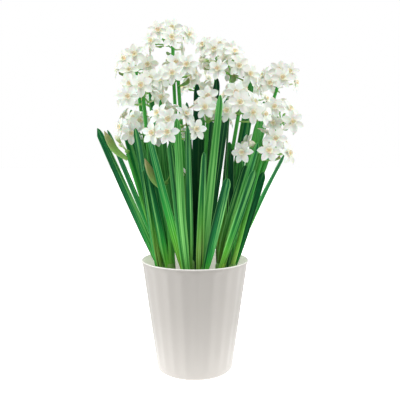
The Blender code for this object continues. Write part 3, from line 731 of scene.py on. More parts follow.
def tried_floret(index, attempt, hub, axis, spread, is_bud, rng):
    """A floret at chance, whose stalk runs straight from the hub and bends at its tube."""
    direction = Vector(rng.normal(0, 1, 3)).normalized() * spread
    direction += axis * rng.uniform(*AXIS_PULL)
    direction.normalize()
    length = rng.uniform(*PEDICEL_LENGTHS) + attempt * PEDICEL_GROWTH
    size = rng.uniform(*FLORET_SIZES)
    roll = rng.uniform(0, math.tau)
    turned = floret_facing(direction, rng.uniform(*TURN_TO_LIGHT))
    facing = direction if is_bud else turned
    if direction.z < LOWEST_FLORET_TILT or facing.angle(direction) > SHARPEST_BEND:
        return None, None
    bend = hub + direction * length
    centre = bend + facing * TUBE_LENGTH
    balls = line_points(hub + direction * (HUB_RADIUS + HUB_MARGIN), bend, TUBE_RADIUS)
    if is_bud:
        balls += line_points(bend, centre, BUD_RADIUS + GAP)
    else:
        balls += line_points(bend, centre, TUBE_RADIUS)[1:]
        balls += disc_points(centre, facing, size, roll)
    return Floret(index, hub, bend, centre, facing, size, is_bud, roll), balls


print("light comes from", [round(value, 2) for value in LIGHT])

# %% Place the flowers
FLORET_TRIES = 700
NEIGHBOURHOOD = 75 * MM
AXIS_OUTWARD = 0.6
AXIS_UPWARD = 0.9
# By place in the table: where the florets of the two shut spathes lean, and how far they spread.
FLORET_LEANS = {11: (-0.5, 0.5, 0.8), 12: (-0.8, 0.3, 0.6)}
LEANING_SPREAD = 0.3


def place_florets(taken, rng):
    """Set each umbel's florets round its hub, clear of all that is already there."""
    florets = []
    missed = 0
    for index, shoot in enumerate(SHOOTS):
        hub = Vector(shoot.umbel) * MM
        outward = Vector((hub.x, hub.y, 0)).normalized()
        axis = (outward * AXIS_OUTWARD + Vector((0, 0, AXIS_UPWARD))).normalized()
        near = taken[np.linalg.norm(taken[:, :3] - np.array(hub), axis=1) < NEIGHBOURHOOD]
        spread = 1.0
        if index in FLORET_LEANS:
            axis = Vector(FLORET_LEANS[index])
            spread = LEANING_SPREAD
        for is_bud in [False] * shoot.florets + [True] * shoot.buds:
            for attempt in range(FLORET_TRIES):
                floret, balls = tried_floret(index, attempt, hub, axis, spread, is_bud, rng)
                if floret and is_clear(balls, near, CLEARANCE):
                    new = np.array([(*ball, index) for ball in balls[2:]])
                    near = np.vstack([near, new])
                    taken = np.vstack([taken, new])
                    florets.append(floret)
                    break
            else:
                missed += 1
    print(f"florets and buds placed: {len(florets)}, with no room for {missed}")
    return florets


florets = place_florets(taken, rng)

# %% [markdown]
# ## Shared effects
# Most surfaces here vary in two ways: in soft clouds of two colours, and in fine lines that run
# along a leaf or a petal. Each effect is a node group, made once and placed in the materials
# with other numbers. The groups put out colours and heights only, and the shader stays outside.

# %% Helpers for links, groups and sums
def link(tree, source, target):
    """A link from one node's output to another node's input."""
    tree.links.new(source, target)


def shader_group(name, inputs, outputs):
    """An empty node group with named sockets: (label, kind, value) and (label, kind)."""
    group = bpy.data.node_groups.new(name, "ShaderNodeTree")
    for label, kind, value in inputs:
        socket = group.interface.new_socket(label, in_out="INPUT", socket_type=kind)
        socket.default_value = value
    for label, kind in outputs:
        group.interface.new_socket(label, in_out="OUTPUT", socket_type=kind)
    start = group.nodes.new("NodeGroupInput")
    end = group.nodes.new("NodeGroupOutput")
    return group, start.outputs, end.inputs


def math_node(tree, operation, first, second=0.0, third=None):
    """A Math node on sockets or numbers, giving its output."""
    node = tree.nodes.new("ShaderNodeMath")
    node.operation = operation
    values = [first, second] if third is None else [first, second, third]
    for socket, value in zip(node.inputs, values):
        if isinstance(value, (int, float)):
            socket.default_value = value
        else:
            link(tree, value, socket)
    return node.outputs[0]


def held(output):
    """The same output of a Math node, held between 0 and 1."""
    output.node.use_clamp = True
    return output


print("link, group and math helpers ready")

# %% Helpers for colours
def mix_colours(tree, share, first, second, blend="MIX"):
    """A Mix node between two colours, giving its output."""
    node = tree.nodes.new("ShaderNodeMix")
    node.data_type = "RGBA"
    node.blend_type = blend
    for socket, value in zip((node.inputs[0], node.inputs[6], node.inputs[7]),
                             (share, first, second)):
        if isinstance(value, (int, float)):
            socket.default_value = value
        elif isinstance(value, tuple):
            socket.default_value = (*value, 1)
        else:
            link(tree, value, socket)
    return node.outputs[2]


def tinted(tree, base, colour, mask, most):
    """The base colour, turned towards another one where the mask is high."""
    return mix_colours(tree, math_node(tree, "MULTIPLY", mask, most), base, colour)


def ramp_of(tree, value, stops):
    """A colour ramp with (place, colour) stops."""
    node = tree.nodes.new("ShaderNodeValToRGB")
    link(tree, value, node.inputs[0])
    points = node.color_ramp.elements
    while len(points) < len(stops):
        points.new(1.0)
    for point, (place, colour) in zip(points, stops):
        point.position = place
        point.color = (*colour, 1)
    return node.outputs[0]


print("colour helpers ready")

# %% Helpers for materials
def group_in(tree, group, **values):
    """Place a node group, with numbers, colours or links for its inputs."""
    node = tree.nodes.new("ShaderNodeGroup")
    node.node_tree = group
    for label, value in values.items():
        socket = node.inputs[label]
        if isinstance(value, bpy.types.NodeSocket):
            link(tree, value, socket)
        elif isinstance(value, tuple):
            socket.default_value = (*value, 1)
        else:
            socket.default_value = value
    return node.outputs


def new_finish(name, roughness, **constants):
    """A material with its shader, and the constants set on the shader's own sockets."""
    material = bpy.data.materials.new(name)
    material.use_nodes = True
    tree = material.node_tree
    shader = tree.nodes["Principled BSDF"]
    shader.inputs["Roughness"].default_value = roughness
    for label, value in constants.items():
        shader.inputs[label.replace("_", " ")].default_value = value
    return material, tree, shader.inputs


def bump(tree, height, strength, distance):
    """A Bump node on a height, giving its normal."""
    node = tree.nodes.new("ShaderNodeBump")
    node.inputs["Strength"].default_value = strength
    node.inputs["Distance"].default_value = distance
    link(tree, height, node.inputs["Height"])
    return node.outputs[0]


def object_place(tree):
    """The place of a point on its piece, in metres."""
    return tree.nodes.new("ShaderNodeTexCoord").outputs["Object"]


def growth_of(tree):
    """Where a point is across and along its leaf, and its chance number."""
    attribute = tree.nodes.new("ShaderNodeAttribute")
    attribute.attribute_name = "growth"
    split = tree.nodes.new("ShaderNodeSeparateXYZ")
    link(tree, attribute.outputs["Vector"], split.inputs[0])
    return split.outputs[0], split.outputs[1], split.outputs[2]


def surface(tree, shader, colour, height, strength, distance):
    """Give the shader its colour and its small relief."""
    link(tree, colour, shader["Base Color"])
    link(tree, bump(tree, height, strength, distance), shader["Normal"])


print("material helpers ready")

# %% The group of soft clouds
clouds, given, made = shader_group(
    "soft_clouds",
    (("Place", "NodeSocketVector", (0, 0, 0)), ("Scale", "NodeSocketFloat", 50.0),
     ("Sharpness", "NodeSocketFloat", 1.0), ("First", "NodeSocketColor", (1, 1, 1, 1)),
     ("Second", "NodeSocketColor", (0, 0, 0, 1))),
    (("Color", "NodeSocketColor"), ("Mask", "NodeSocketFloat")))
cloud_noise = clouds.nodes.new("ShaderNodeTexNoise")
cloud_noise.inputs["Detail"].default_value = 4.0
link(clouds, given["Place"], cloud_noise.inputs["Vector"])
link(clouds, given["Scale"], cloud_noise.inputs["Scale"])
centred = math_node(clouds, "SUBTRACT", cloud_noise.outputs[0], 0.5)
spread_out = held(math_node(clouds, "MULTIPLY_ADD", centred, given["Sharpness"], 0.5))
link(clouds, spread_out, made["Mask"])
link(clouds, mix_colours(clouds, spread_out, given["First"], given["Second"]), made["Color"])
print("group:", clouds.name)

# %% The group of long lines
CHANCE_SPREAD = 40.0

lines, given, made = shader_group(
    "long_lines",
    (("Across", "NodeSocketFloat", 0.0), ("Along", "NodeSocketFloat", 0.0),
     ("Chance", "NodeSocketFloat", 0.0), ("Count", "NodeSocketFloat", 8.0),
     ("Stretch", "NodeSocketFloat", 2.0)),
    (("Height", "NodeSocketFloat"), ("Streak", "NodeSocketFloat")))
wave = math_node(lines, "SINE", math_node(lines, "MULTIPLY", given["Across"],
                 math_node(lines, "MULTIPLY", given["Count"], math.pi)))
link(lines, math_node(lines, "MULTIPLY_ADD", wave, 0.5, 0.5), made["Height"])
line_place = lines.nodes.new("ShaderNodeCombineXYZ")
link(lines, math_node(lines, "MULTIPLY", given["Across"], given["Count"]), line_place.inputs[0])
link(lines, math_node(lines, "MULTIPLY", given["Along"], given["Stretch"]), line_place.inputs[1])
link(lines, math_node(lines, "MULTIPLY", given["Chance"], CHANCE_SPREAD), line_place.inputs[2])
line_noise = lines.nodes.new("ShaderNodeTexNoise")
line_noise.inputs["Scale"].default_value = 1.0
line_noise.inputs["Detail"].default_value = 3.0
link(lines, line_place.outputs[0], line_noise.inputs["Vector"])
link(lines, line_noise.outputs[0], made["Streak"])


def growth_lines(tree, growth, count, stretch):
    """The long lines on a piece that carries the growth attribute."""
    across, along, chance = growth
    return group_in(tree, lines, Across=across, Along=along, Chance=chance, Count=count,
                    Stretch=stretch)


print("group:", lines.name)

# %% [markdown]
# ## Finishes of the pot and what fills it
# The pot is moulded plastic: a warm pale grey, nearly even, with a satin skin and the faintest
# orange peel. Its lip and its inside are painted paler than the outside, and a faint glow is
# painted on them: both are painted light. The pot's growth attribute says where. The potting
# mix is dark peat with paler fibres. A bulb wears thin brown skins with darker lines from its
# base to its neck.

# %% The pot's plastic
POT_GREYS = dict(First=(0.51, 0.485, 0.455), Second=(0.485, 0.46, 0.43))
# Painted light: the paler grey of the inside and the lip, and the colour of their painted glow.
PAINTED_LIGHT_GREY = (0.90, 0.89, 0.86)
PAINTED_GLOW = (0.38, 0.37, 0.34)

pot_finish, tree, shader = new_finish("satin_pot_plastic", roughness=0.36, Specular_IOR_Level=0.45)
grey = group_in(tree, clouds, Place=object_place(tree), Scale=22.0, Sharpness=0.9, **POT_GREYS)
across, along, inside = growth_of(tree)
peel = group_in(tree, clouds, Place=object_place(tree), Scale=900.0, Sharpness=1.0)
# Painted light: the inside and the lip are painted paler and glow faintly, though no lamp is
# there.
surface(tree, shader, mix_colours(tree, inside, grey["Color"], PAINTED_LIGHT_GREY),
        peel["Mask"], strength=0.08, distance=0.0003)
link(tree, mix_colours(tree, inside, (0, 0, 0), PAINTED_GLOW), shader["Emission Color"])
shader["Emission Strength"].default_value = 1.0
print("finish:", pot_finish.name)

# %% Peat and bark
# Each: name, roughness, shine, size and sharpness of its clouds, two colours, its relief.
CRUMBLY = (
    ("peat_mix", 0.95, 0.2, 420.0, 2.6, (0.018, 0.011, 0.007), (0.11, 0.065, 0.035),
     0.7, 0.0012),
    ("bark_chips", 0.85, 0.25, 300.0, 2.0, (0.045, 0.024, 0.013), (0.20, 0.12, 0.065),
     0.5, 0.0008),
)
crumbly = []
for name, roughness, shine, scale, sharpness, dark, pale, strength, distance in CRUMBLY:
    finish, tree, shader = new_finish(name, roughness, Specular_IOR_Level=shine)
    crumbs = group_in(tree, clouds, Place=object_place(tree), Scale=scale, Sharpness=sharpness,
                      First=dark, Second=pale)
    surface(tree, shader, crumbs["Color"], crumbs["Mask"], strength, distance)
    crumbly.append(finish)
mix_finish, bark_finish = crumbly
print("finishes:", mix_finish.name, bark_finish.name)

# %% The bulbs' skins
SKIN_BROWNS = ((0.30, (0.07, 0.03, 0.012)), (0.5, (0.21, 0.105, 0.045)),
               (0.7, (0.42, 0.27, 0.14)))

bulb_finish, tree, shader = new_finish("bulb_skin", roughness=0.5, Sheen_Weight=0.15)
skin_lines = growth_lines(tree, growth_of(tree), count=26.0, stretch=1.6)
skin = ramp_of(tree, skin_lines["Streak"], SKIN_BROWNS)
flakes = group_in(tree, clouds, Place=object_place(tree), Scale=120.0, Sharpness=3.0,
                  First=(1, 1, 1), Second=(0.6, 0.55, 0.5))
surface(tree, shader, mix_colours(tree, 0.7, skin, flakes["Color"], "MULTIPLY"),
        skin_lines["Streak"], strength=0.6, distance=0.0006)
print("finish:", bulb_finish.name)

# %% [markdown]
# ## Finishes of the greenery
# A narcissus leaf is yellow green just above the rim and turns a deeper, bluer green higher up.
# It has fine veins, painted bands of light and shade where its hollow face turns, and a painted
# highlight along its margin. Some leaves are darker and some paler, and deep inside the clump,
# where little light falls, all get painted shade. Those colours follow the leaf, not the space
# round it, so they read the growth attribute that each leaf carries. They are laid over each
# other like thin washes of paint. Only the painted shade of the clump reads the place round the
# pot's axis.

# %% The green of a leaf, from its foot to its tip
LEAF_AGES = (
    (0.0, (0.42, 0.72, 0.08)), (0.1, (0.25, 0.66, 0.04)), (0.26, (0.12, 0.57, 0.03)),
    (0.44, (0.022, 0.40, 0.045)), (0.66, (0.007, 0.26, 0.06)), (1.0, (0.003, 0.15, 0.05)))
PALE_GREEN = (0.14, 0.62, 0.10)
DEEP_GREEN = (0.001, 0.045, 0.016)

leaf_finish, tree, shader = new_finish("leaf_green", roughness=0.48, Specular_IOR_Level=0.1)
growth = growth_of(tree)
across, along, chance = growth
height = math_node(tree, "MULTIPLY_ADD", along, 1.15, -0.40)
green = ramp_of(tree, math_node(tree, "MULTIPLY_ADD", chance, 0.65, height), LEAF_AGES)
# Veins and streaks, then the leaves that are darker or paler than the others.
veins = growth_lines(tree, growth, count=9.0, stretch=1.2)
green = tinted(tree, green, PALE_GREEN, veins["Height"], most=0.14)
streak = held(math_node(tree, "MULTIPLY_ADD", veins["Streak"], 2.4, -0.9))
green = tinted(tree, green, (0.002, 0.09, 0.03), streak, most=0.50)
for share, gain, offset, colour in ((7.3, 1.7, -0.75, DEEP_GREEN), (13.7, 1.3, -0.75, PALE_GREEN)):
    lot = math_node(tree, "FRACT", math_node(tree, "MULTIPLY", chance, share))
    lot = held(math_node(tree, "MULTIPLY_ADD", lot, gain, offset))
    green = mix_colours(tree, lot, green, colour)
print("leaf stops:", len(LEAF_AGES))

# %% Painted light and shade: the bands and margins of a leaf, and the shade inside the clump
# Painted shade fills the clump within this radius at its foot, and it widens by this share as it
# rises.
CLUMP_RADIUS = 0.014
CLUMP_WIDENING = 0.20
CLUMP_PAINTED_SHADE = 1.1

bands = growth_lines(tree, growth, count=2.4, stretch=1.1)
edge = math_node(tree, "ABSOLUTE", across)
# Each wash: what it reads, its gain and offset, how strong it is at most, and its colour.
WASHES = (
    # Painted shade and painted light in broad bands, where the leaf's hollow face turns.
    (bands["Streak"], 6.0, -2.9, 0.85, (0.001, 0.045, 0.014)),
    (bands["Streak"], -6.0, 2.8, 0.7, (0.32, 0.82, 0.22)),
    # A painted highlight along the margin.
    (edge, 6.0, -5.1, 0.45, (0.26, 0.70, 0.20)),
)
for source, gain, offset, most, colour in WASHES:
    wash = held(math_node(tree, "MULTIPLY_ADD", source, gain, offset))
    green = tinted(tree, green, colour, wash, most)
# Painted shade deep inside the clump, darker towards the pot's axis.
place = tree.nodes.new("ShaderNodeSeparateXYZ")
link(tree, object_place(tree), place.inputs[0])
x, y, z = place.outputs
from_axis = math_node(tree, "SQRT", math_node(tree, "MULTIPLY_ADD", x, x,
                                              math_node(tree, "MULTIPLY", y, y)))
clump = math_node(tree, "MULTIPLY_ADD", z, CLUMP_WIDENING, CLUMP_RADIUS)
inside = held(math_node(tree, "SUBTRACT", 1.0, math_node(tree, "DIVIDE", from_axis, clump)))
inside = held(math_node(tree, "MULTIPLY", inside, CLUMP_PAINTED_SHADE))
surface(tree, shader, mix_colours(tree, inside, green, DEEP_GREEN),
        veins["Height"], strength=0.35, distance=0.0004)
print("finish:", leaf_finish.name)

# %% Stems, sheaths and spathes
STEM_AGES = ((0.0, (0.36, 0.58, 0.12)), (0.2, (0.15, 0.46, 0.04)), (0.6, (0.03, 0.29, 0.04)),
             (1.0, (0.05, 0.34, 0.05)))
SHEATH_GREENS = ((0.3, (0.09, 0.30, 0.04)), (0.7, (0.24, 0.44, 0.11)))
SPATHE_AGES = ((0.0, (0.22, 0.48, 0.09)), (0.35, (0.13, 0.36, 0.04)),
               (0.7, (0.13, 0.21, 0.03)), (1.0, (0.28, 0.23, 0.08)))

stem_finish, tree, shader = new_finish("stem_green", roughness=0.5, Specular_IOR_Level=0.12)
growth = growth_of(tree)
age = math_node(tree, "MULTIPLY_ADD", growth[2], 0.3,
                math_node(tree, "SUBTRACT", growth[1], 0.15))
ribs = growth_lines(tree, growth, count=7.0, stretch=1.0)
green = ramp_of(tree, age, STEM_AGES)
green = tinted(tree, green, (0.18, 0.54, 0.12), ribs["Height"], most=0.25)
surface(tree, shader, green, ribs["Height"], strength=0.4, distance=0.0004)

sheath_finish, tree, shader = new_finish("papery_sheath", roughness=0.55, Sheen_Weight=0.1)
paper = growth_lines(tree, growth_of(tree), count=16.0, stretch=1.5)
surface(tree, shader, ramp_of(tree, paper["Streak"], SHEATH_GREENS), paper["Streak"],
        strength=0.5, distance=0.0005)

spathe_finish, tree, shader = new_finish("spathe_paper", roughness=0.5, Sheen_Weight=0.1)
growth = growth_of(tree)
paper = growth_lines(tree, growth, count=7.0, stretch=1.5)
young = ramp_of(tree, growth[1], SPATHE_AGES)
surface(tree, shader, tinted(tree, young, (0.42, 0.46, 0.15), paper["Streak"], most=0.25),
        paper["Height"], strength=0.4, distance=0.0005)
print("finishes:", stem_finish.name, sheath_finish.name, spathe_finish.name)

# %% [markdown]
# ## Finishes of the flowers
# Paperwhite petals are pure white, thin and faintly ribbed, a little greener in the throat, and
# the light inside them softens their shadows. The throat is darker as well, which is partly its
# green and partly painted shade. Older flowers are slightly duller. The cup is a creamier white,
# and it holds anthers of a pale egg-yolk yellow. Behind a flower its tube is greenish white and
# its stalk a fresh green. A bud is green at its foot and white at its head.

# %% Petals, cups and anthers
PETAL_WHITE = (0.93, 0.94, 0.89)
RIB_WHITE = (0.86, 0.88, 0.78)
AGED_WHITE = (0.74, 0.75, 0.66)
THROAT_GREEN_AND_SHADE = (0.62, 0.68, 0.46)
CUP_CREAMS = ((0.0, (0.86, 0.87, 0.77)), (0.42, (0.93, 0.92, 0.83)), (0.6, (0.93, 0.90, 0.75)),
              (1.0, (0.93, 0.88, 0.66)))

petal_finish, tree, shader = new_finish("petal_white", roughness=0.5, Subsurface_Weight=0.25,
                                        Subsurface_Scale=0.002, Specular_IOR_Level=0.3)
growth = growth_of(tree)
across, along, chance = growth
ribs = growth_lines(tree, growth, count=5.0, stretch=1.0)
white = tinted(tree, PETAL_WHITE, RIB_WHITE, ribs["Streak"], most=0.5)
aged = held(math_node(tree, "MULTIPLY_ADD", chance, 0.8, -0.4))
white = mix_colours(tree, aged, white, AGED_WHITE)
# Towards the throat the white turns greener and darker: partly its own green, partly painted
# shade.
throat = held(math_node(tree, "SUBTRACT", 1.0, math_node(tree, "MULTIPLY", along, 2.6)))
surface(tree, shader, tinted(tree, white, THROAT_GREEN_AND_SHADE, throat, most=0.75), ribs["Streak"],
        strength=0.35, distance=0.0004)

cup_finish, tree, shader = new_finish("cup_cream", roughness=0.5, Subsurface_Weight=0.2,
                                      Subsurface_Scale=0.0015)
across, along, chance = growth_of(tree)
frill = group_in(tree, clouds, Place=object_place(tree), Scale=900.0, Sharpness=1.5)
surface(tree, shader, ramp_of(tree, along, CUP_CREAMS), frill["Mask"],
        strength=0.3, distance=0.0003)

anther_finish, tree, shader = new_finish("anther_yellow", roughness=0.75)
pollen = group_in(tree, clouds, Place=object_place(tree), Scale=1400.0, Sharpness=2.0,
                  First=(0.92, 0.78, 0.38), Second=(0.84, 0.65, 0.24))
surface(tree, shader, pollen["Color"], pollen["Mask"], strength=0.5, distance=0.0002)
print("finishes:", petal_finish.name, cup_finish.name, anther_finish.name)

# %% Stalks and buds
STALK_AGES = (
    (0.0, (0.13, 0.36, 0.05)), (0.55, (0.15, 0.40, 0.06)), (0.70, (0.22, 0.46, 0.09)),
    (0.80, (0.55, 0.68, 0.32)), (1.0, (0.86, 0.88, 0.76)))
BUD_AGES = (
    (0.55, (0.20, 0.42, 0.07)), (0.70, (0.45, 0.60, 0.20)), (0.82, (0.78, 0.82, 0.55)),
    (0.95, (0.86, 0.88, 0.70)), (1.0, (0.62, 0.68, 0.34)))

stalk_finish, tree, shader = new_finish("stalk_green", roughness=0.45, Specular_IOR_Level=0.4)
across, along, chance = growth_of(tree)
mottle = group_in(tree, clouds, Place=object_place(tree), Scale=500.0, Sharpness=1.5)
green = ramp_of(tree, along, STALK_AGES)
green = tinted(tree, green, (0.35, 0.5, 0.2), mottle["Mask"], most=0.2)
surface(tree, shader, green, mottle["Mask"], strength=0.25, distance=0.0002)

bud_finish, tree, shader = new_finish("bud_white_green", roughness=0.5, Subsurface_Weight=0.15,
                                      Subsurface_Scale=0.002)
growth = growth_of(tree)
folds = growth_lines(tree, growth, count=6.0, stretch=1.0)
surface(tree, shader, ramp_of(tree, growth[1], BUD_AGES), folds["Height"],
        strength=0.5, distance=0.0004)
print("finishes:", stalk_finish.name, bud_finish.name)

# %% [markdown]
# ## The pot
# The real pot is moulded: a tapered shell with soft flat facets, a rounded foot and a thin lip
# that stands proud of the wall. The shell is raised in one go, up the outside, over the lip and
# down the inside. The facets aren't cut. Each ring is pulled in between the facets' edges, which
# keeps the edges soft, as a mould leaves them, and lets them fade out at the foot and the lip.

# %% The pot's outline
POT_BASE_RADIUS = 53 * MM
POT_FOOT_ROUNDING = 4 * MM
POT_LIP_HEIGHT = 2.6 * MM
POT_LIP_OVERHANG = 0.8 * MM
FOOT_STEPS = 6
LIP_STEPS = 8
OUTSIDE_HEIGHTS = (7, 10, 14, 20, 40, 60, 80, 100, 120, 136, 142, 146, 149, 150.8)
INSIDE_HEIGHTS = (148, 130, 110, 90)

lip = POT_WALL / 2
shoulder = POT_HEIGHT - POT_LIP_HEIGHT


def pot_radius(height):
    """The pot's outer radius at a height, before its facets."""
    slope = (POT_RIM_RADIUS - POT_LIP_OVERHANG - POT_BASE_RADIUS) / POT_HEIGHT
    return POT_BASE_RADIUS + slope * height


def pot_profile():
    """The pot from the middle of its foot up the outside, over the lip and down the inside."""
    rows = [(POT_BASE_RADIUS - POT_FOOT_ROUNDING - 4 * MM, 0.5 * MM),
            (POT_BASE_RADIUS - POT_FOOT_ROUNDING - 2.6 * MM, 0.0)]
    for step in range(FOOT_STEPS + 1):
        turn = math.radians(90 * step / FOOT_STEPS)
        rows.append((pot_radius(POT_FOOT_ROUNDING) - POT_FOOT_ROUNDING * (1 - math.sin(turn)),
                     POT_FOOT_ROUNDING * (1 - math.cos(turn))))
    rows += [(pot_radius(height * MM), height * MM) for height in OUTSIDE_HEIGHTS]
    rows += [(pot_radius(shoulder) - 0.45 * MM, shoulder - 0.6 * MM),
             (pot_radius(shoulder) - 0.3 * MM, shoulder - 0.2 * MM),
             (POT_RIM_RADIUS - 0.2 * MM, shoulder + 0.1 * MM)]
    for step in range(LIP_STEPS + 1):
        turn = math.radians(180 * step / LIP_STEPS)
        rows.append((POT_RIM_RADIUS - lip + lip * math.cos(turn),
                     POT_HEIGHT - lip + lip * math.sin(turn)))
    rows += [(pot_radius(height * MM) - POT_WALL, height * MM) for height in INSIDE_HEIGHTS]
    rows.append((pot_radius(POT_WALL) - POT_WALL, POT_WALL))
    return rows


print("rings of the pot:", len(pot_profile()))

# %% Raise the pot and pull in its facets
POT_RINGS = 264
POT_FACETS = 22
POT_FACET_PHASE = math.radians(-4.7)
FACET_SOFTNESS = 0.75
FACET_DEPTH = 1.4
FACET_START = 4 * MM
FACET_RISE = 14 * MM
FACET_END = 0.5 * MM
FACET_FALL = 6 * MM

pot = raise_rings("plastic_pot", pot_profile(), POT_RINGS)
points = points_of(pot)
radius = np.hypot(points[:, 0], points[:, 1])
angle = np.arctan2(points[:, 1], points[:, 0])
facet = math.tau / POT_FACETS
turn = ((angle - POT_FACET_PHASE) % facet) / facet * 2 - 1
hollow = (1 - FACET_SOFTNESS) * (1 - turn ** 2) + FACET_SOFTNESS * (1 + np.cos(math.pi * turn)) / 2
outside = radius > pot_radius(points[:, 2]) - POT_WALL / 2
fade = np.clip((points[:, 2] - FACET_START) / FACET_RISE, 0, 1)
fade *= np.clip((shoulder - FACET_END - points[:, 2]) / FACET_FALL, 0, 1) * outside
points[:, :2] *= (1 - FACET_DEPTH * (1 - math.cos(facet / 2)) * hollow * fade)[:, None]
set_points(pot, points)
print("facets:", POT_FACETS, "pulled in by up to",
      round(FACET_DEPTH * (1 - math.cos(facet / 2)) * POT_RIM_RADIUS / MM, 2), "mm")

# %% Mark the lip and the inside, where light is painted on the plastic
LIP_EDGE_HEIGHT = 1.4 * MM
LIP_EDGE_FADE = 0.9 * MM
LIP_PAINTED_LIGHT = 0.65

# Painted light: the top of the lip and the inside are marked to be painted paler and to glow.
edge = np.clip((points[:, 2] - (POT_HEIGHT - LIP_EDGE_HEIGHT)) / LIP_EDGE_FADE, 0, 1)
inside = ~outside & (points[:, 2] > POT_FOOT_ROUNDING)
mark_growth(pot, 0.0, 0.0, np.where(inside, 1.0, LIP_PAINTED_LIGHT * edge))
pot = joined("plastic_pot", [pot], 50)
finish_piece(pot, pot_finish, "pot", "pot")
print("pot faces:", len(pot.data.polygons))

# %% [markdown]
# ## The potting mix
# Peat has no flat top: it is a crumbly surface with chips of bark lying on it. The body is
# raised like the pot, and its top is many fine rings, so that noise can lift and sink them. A
# texture alone could darken the peat, but it wouldn't break up the edge where the bulbs stand.
# Two chips are shaped once, and their copies are scattered over the top at chance turns.

# %% The potting mix
MIX_STEPS = 110
MIX_TOP_RINGS = 44
CRUMB_HEIGHT = 1.6 * MM
# The lumps of the peat: how many to a metre, and how much each size adds.
LUMPS = ((60, 1.0), (190, 0.7), (420, 0.5))

mix_radius = pot_radius(MIX_TOP) - POT_WALL - GAP
rows = [(pot_radius(POT_WALL + GAP) - POT_WALL - GAP, POT_WALL + GAP)]
rows += [(mix_radius - 1.5 * MM, MIX_TOP - 12 * MM), (mix_radius - 0.6 * MM, MIX_TOP - 5 * MM)]
rows += [(mix_radius * share, MIX_TOP - 2 * MM) for share in np.linspace(1, 0.02, MIX_TOP_RINGS)]
mix = raise_rings("potting_mix_body", rows, MIX_STEPS)
points = points_of(mix)
for point in points:
    if point[2] > MIX_TOP - 3 * MM and np.hypot(point[0], point[1]) < mix_radius - MM:
        lump = sum(share * noise.noise(Vector(point) * count) for count, share in LUMPS)
        point[2] += CRUMB_HEIGHT * min(1.0, lump)
set_points(mix, points)
mix = joined("potting_mix_body", [mix], 60)
finish_piece(mix, mix_finish, "potting_mix", "potting_mix")
print("mix faces:", len(mix.data.polygons))

# %% Bark chips on the mix
BULB_RADIUS = 19 * MM
CHIP_COUNT = 190
CHIP_SIZES = (1.2, 3.4)
CHIP_TILT = 0.7
CHIP_SHAPE = (1.0, 0.62, 0.34)
CHIP_ROUGHNESS = 0.35
CHIP_EDGE_MARGIN = 5 * MM
CHIP_SINK = 1.2 * MM
CHIP_LUMPS = 1.3
chips_rng = np.random.default_rng(21)


def bark_chip(name, seed):
    """A rough, flattened lump."""
    clear_selection()
    bpy.ops.mesh.primitive_ico_sphere_add(subdivisions=2, radius=1)
    chip = bpy.context.object
    chip.name = name
    points = points_of(chip)
    for point in points:
        lump = noise.noise(Vector(point) * CHIP_LUMPS + Vector((seed, 0, 0)))
        point *= 1 + CHIP_ROUGHNESS * lump
    points *= CHIP_SHAPE
    set_points(chip, points)
    return chip


chip_kinds = [bark_chip("chip_a", 3.1), bark_chip("chip_b", 8.7)]
chips = []
while len(chips) < CHIP_COUNT:
    spot = chips_rng.uniform(-mix_radius, mix_radius, 2)
    if np.hypot(*spot) > mix_radius - CHIP_EDGE_MARGIN:
        continue
    if any((Vector(spot) - place.xy).length < BULB_RADIUS * 0.98 for place in bulb_places()):
        continue
    turn = Matrix.Rotation(chips_rng.uniform(0, math.tau), 4, "Z")
    tip = Matrix.Rotation(chips_rng.uniform(-CHIP_TILT, CHIP_TILT), 4, "X")
    size = Matrix.Scale(chips_rng.uniform(*CHIP_SIZES) * MM, 4)
    lift = Matrix.Translation((*spot, MIX_TOP - CHIP_SINK))
    chips.append(copy_of(chip_kinds[len(chips) % 2], lift @ turn @ tip @ size))
put_away(*chip_kinds)
chips = joined("bark_chips", chips, 30)
finish_piece(chips, bark_finish, "potting_mix", "potting_mix")
print("chips:", CHIP_COUNT, "chip faces:", len(chips.data.polygons))

# %% [markdown]
# ## The bulbs
# Seven bulbs sit shoulder to shoulder, half sunk in the mix. A bulb is round, with a neck where
# the shoots come out, and its papery skin is ribbed from base to neck. One bulb is raised ring
# by ring, and each copy is given its own ribs and bulges, because no two bulbs are alike.

# %% The first bulb
BULB_STEPS = 64
BULB_DEPTH = 19 * MM
# The bulb's rings: each radius as a share of its widest, and each height above the mix.
BULB_ROWS = ((0.35, -BULB_DEPTH + 0.4 * MM), (0.60, -BULB_DEPTH), (0.80, -13 * MM),
             (0.94, -8 * MM), (1.0, -3 * MM), (0.995, 1 * MM), (0.96, 5 * MM), (0.88, 8.5 * MM),
             (0.78, 11.2 * MM), (0.68, 13 * MM), (0.60, 13.7 * MM), (0.45, 13.4 * MM),
             (0.25, 13.2 * MM))

bulb_rows = [(BULB_RADIUS * share, MIX_TOP + height) for share, height in BULB_ROWS]
first_bulb = raise_rings("first_bulb", bulb_rows, BULB_STEPS)
print("first bulb faces:", len(first_bulb.data.polygons))

# %% Seven bulbs, each with its own ribs
BULB_NECK_HEIGHT = 14 * MM
BULB_SHRINK = 0.972
# The ribs of a bulb: how many go round it, how high they stand, and how they turn as they rise.
BULB_RIBS = ((9, 0.012, 0), (17, 0.010, 3), (29, 0.006, 0))
bulb_rng = np.random.default_rng(5)

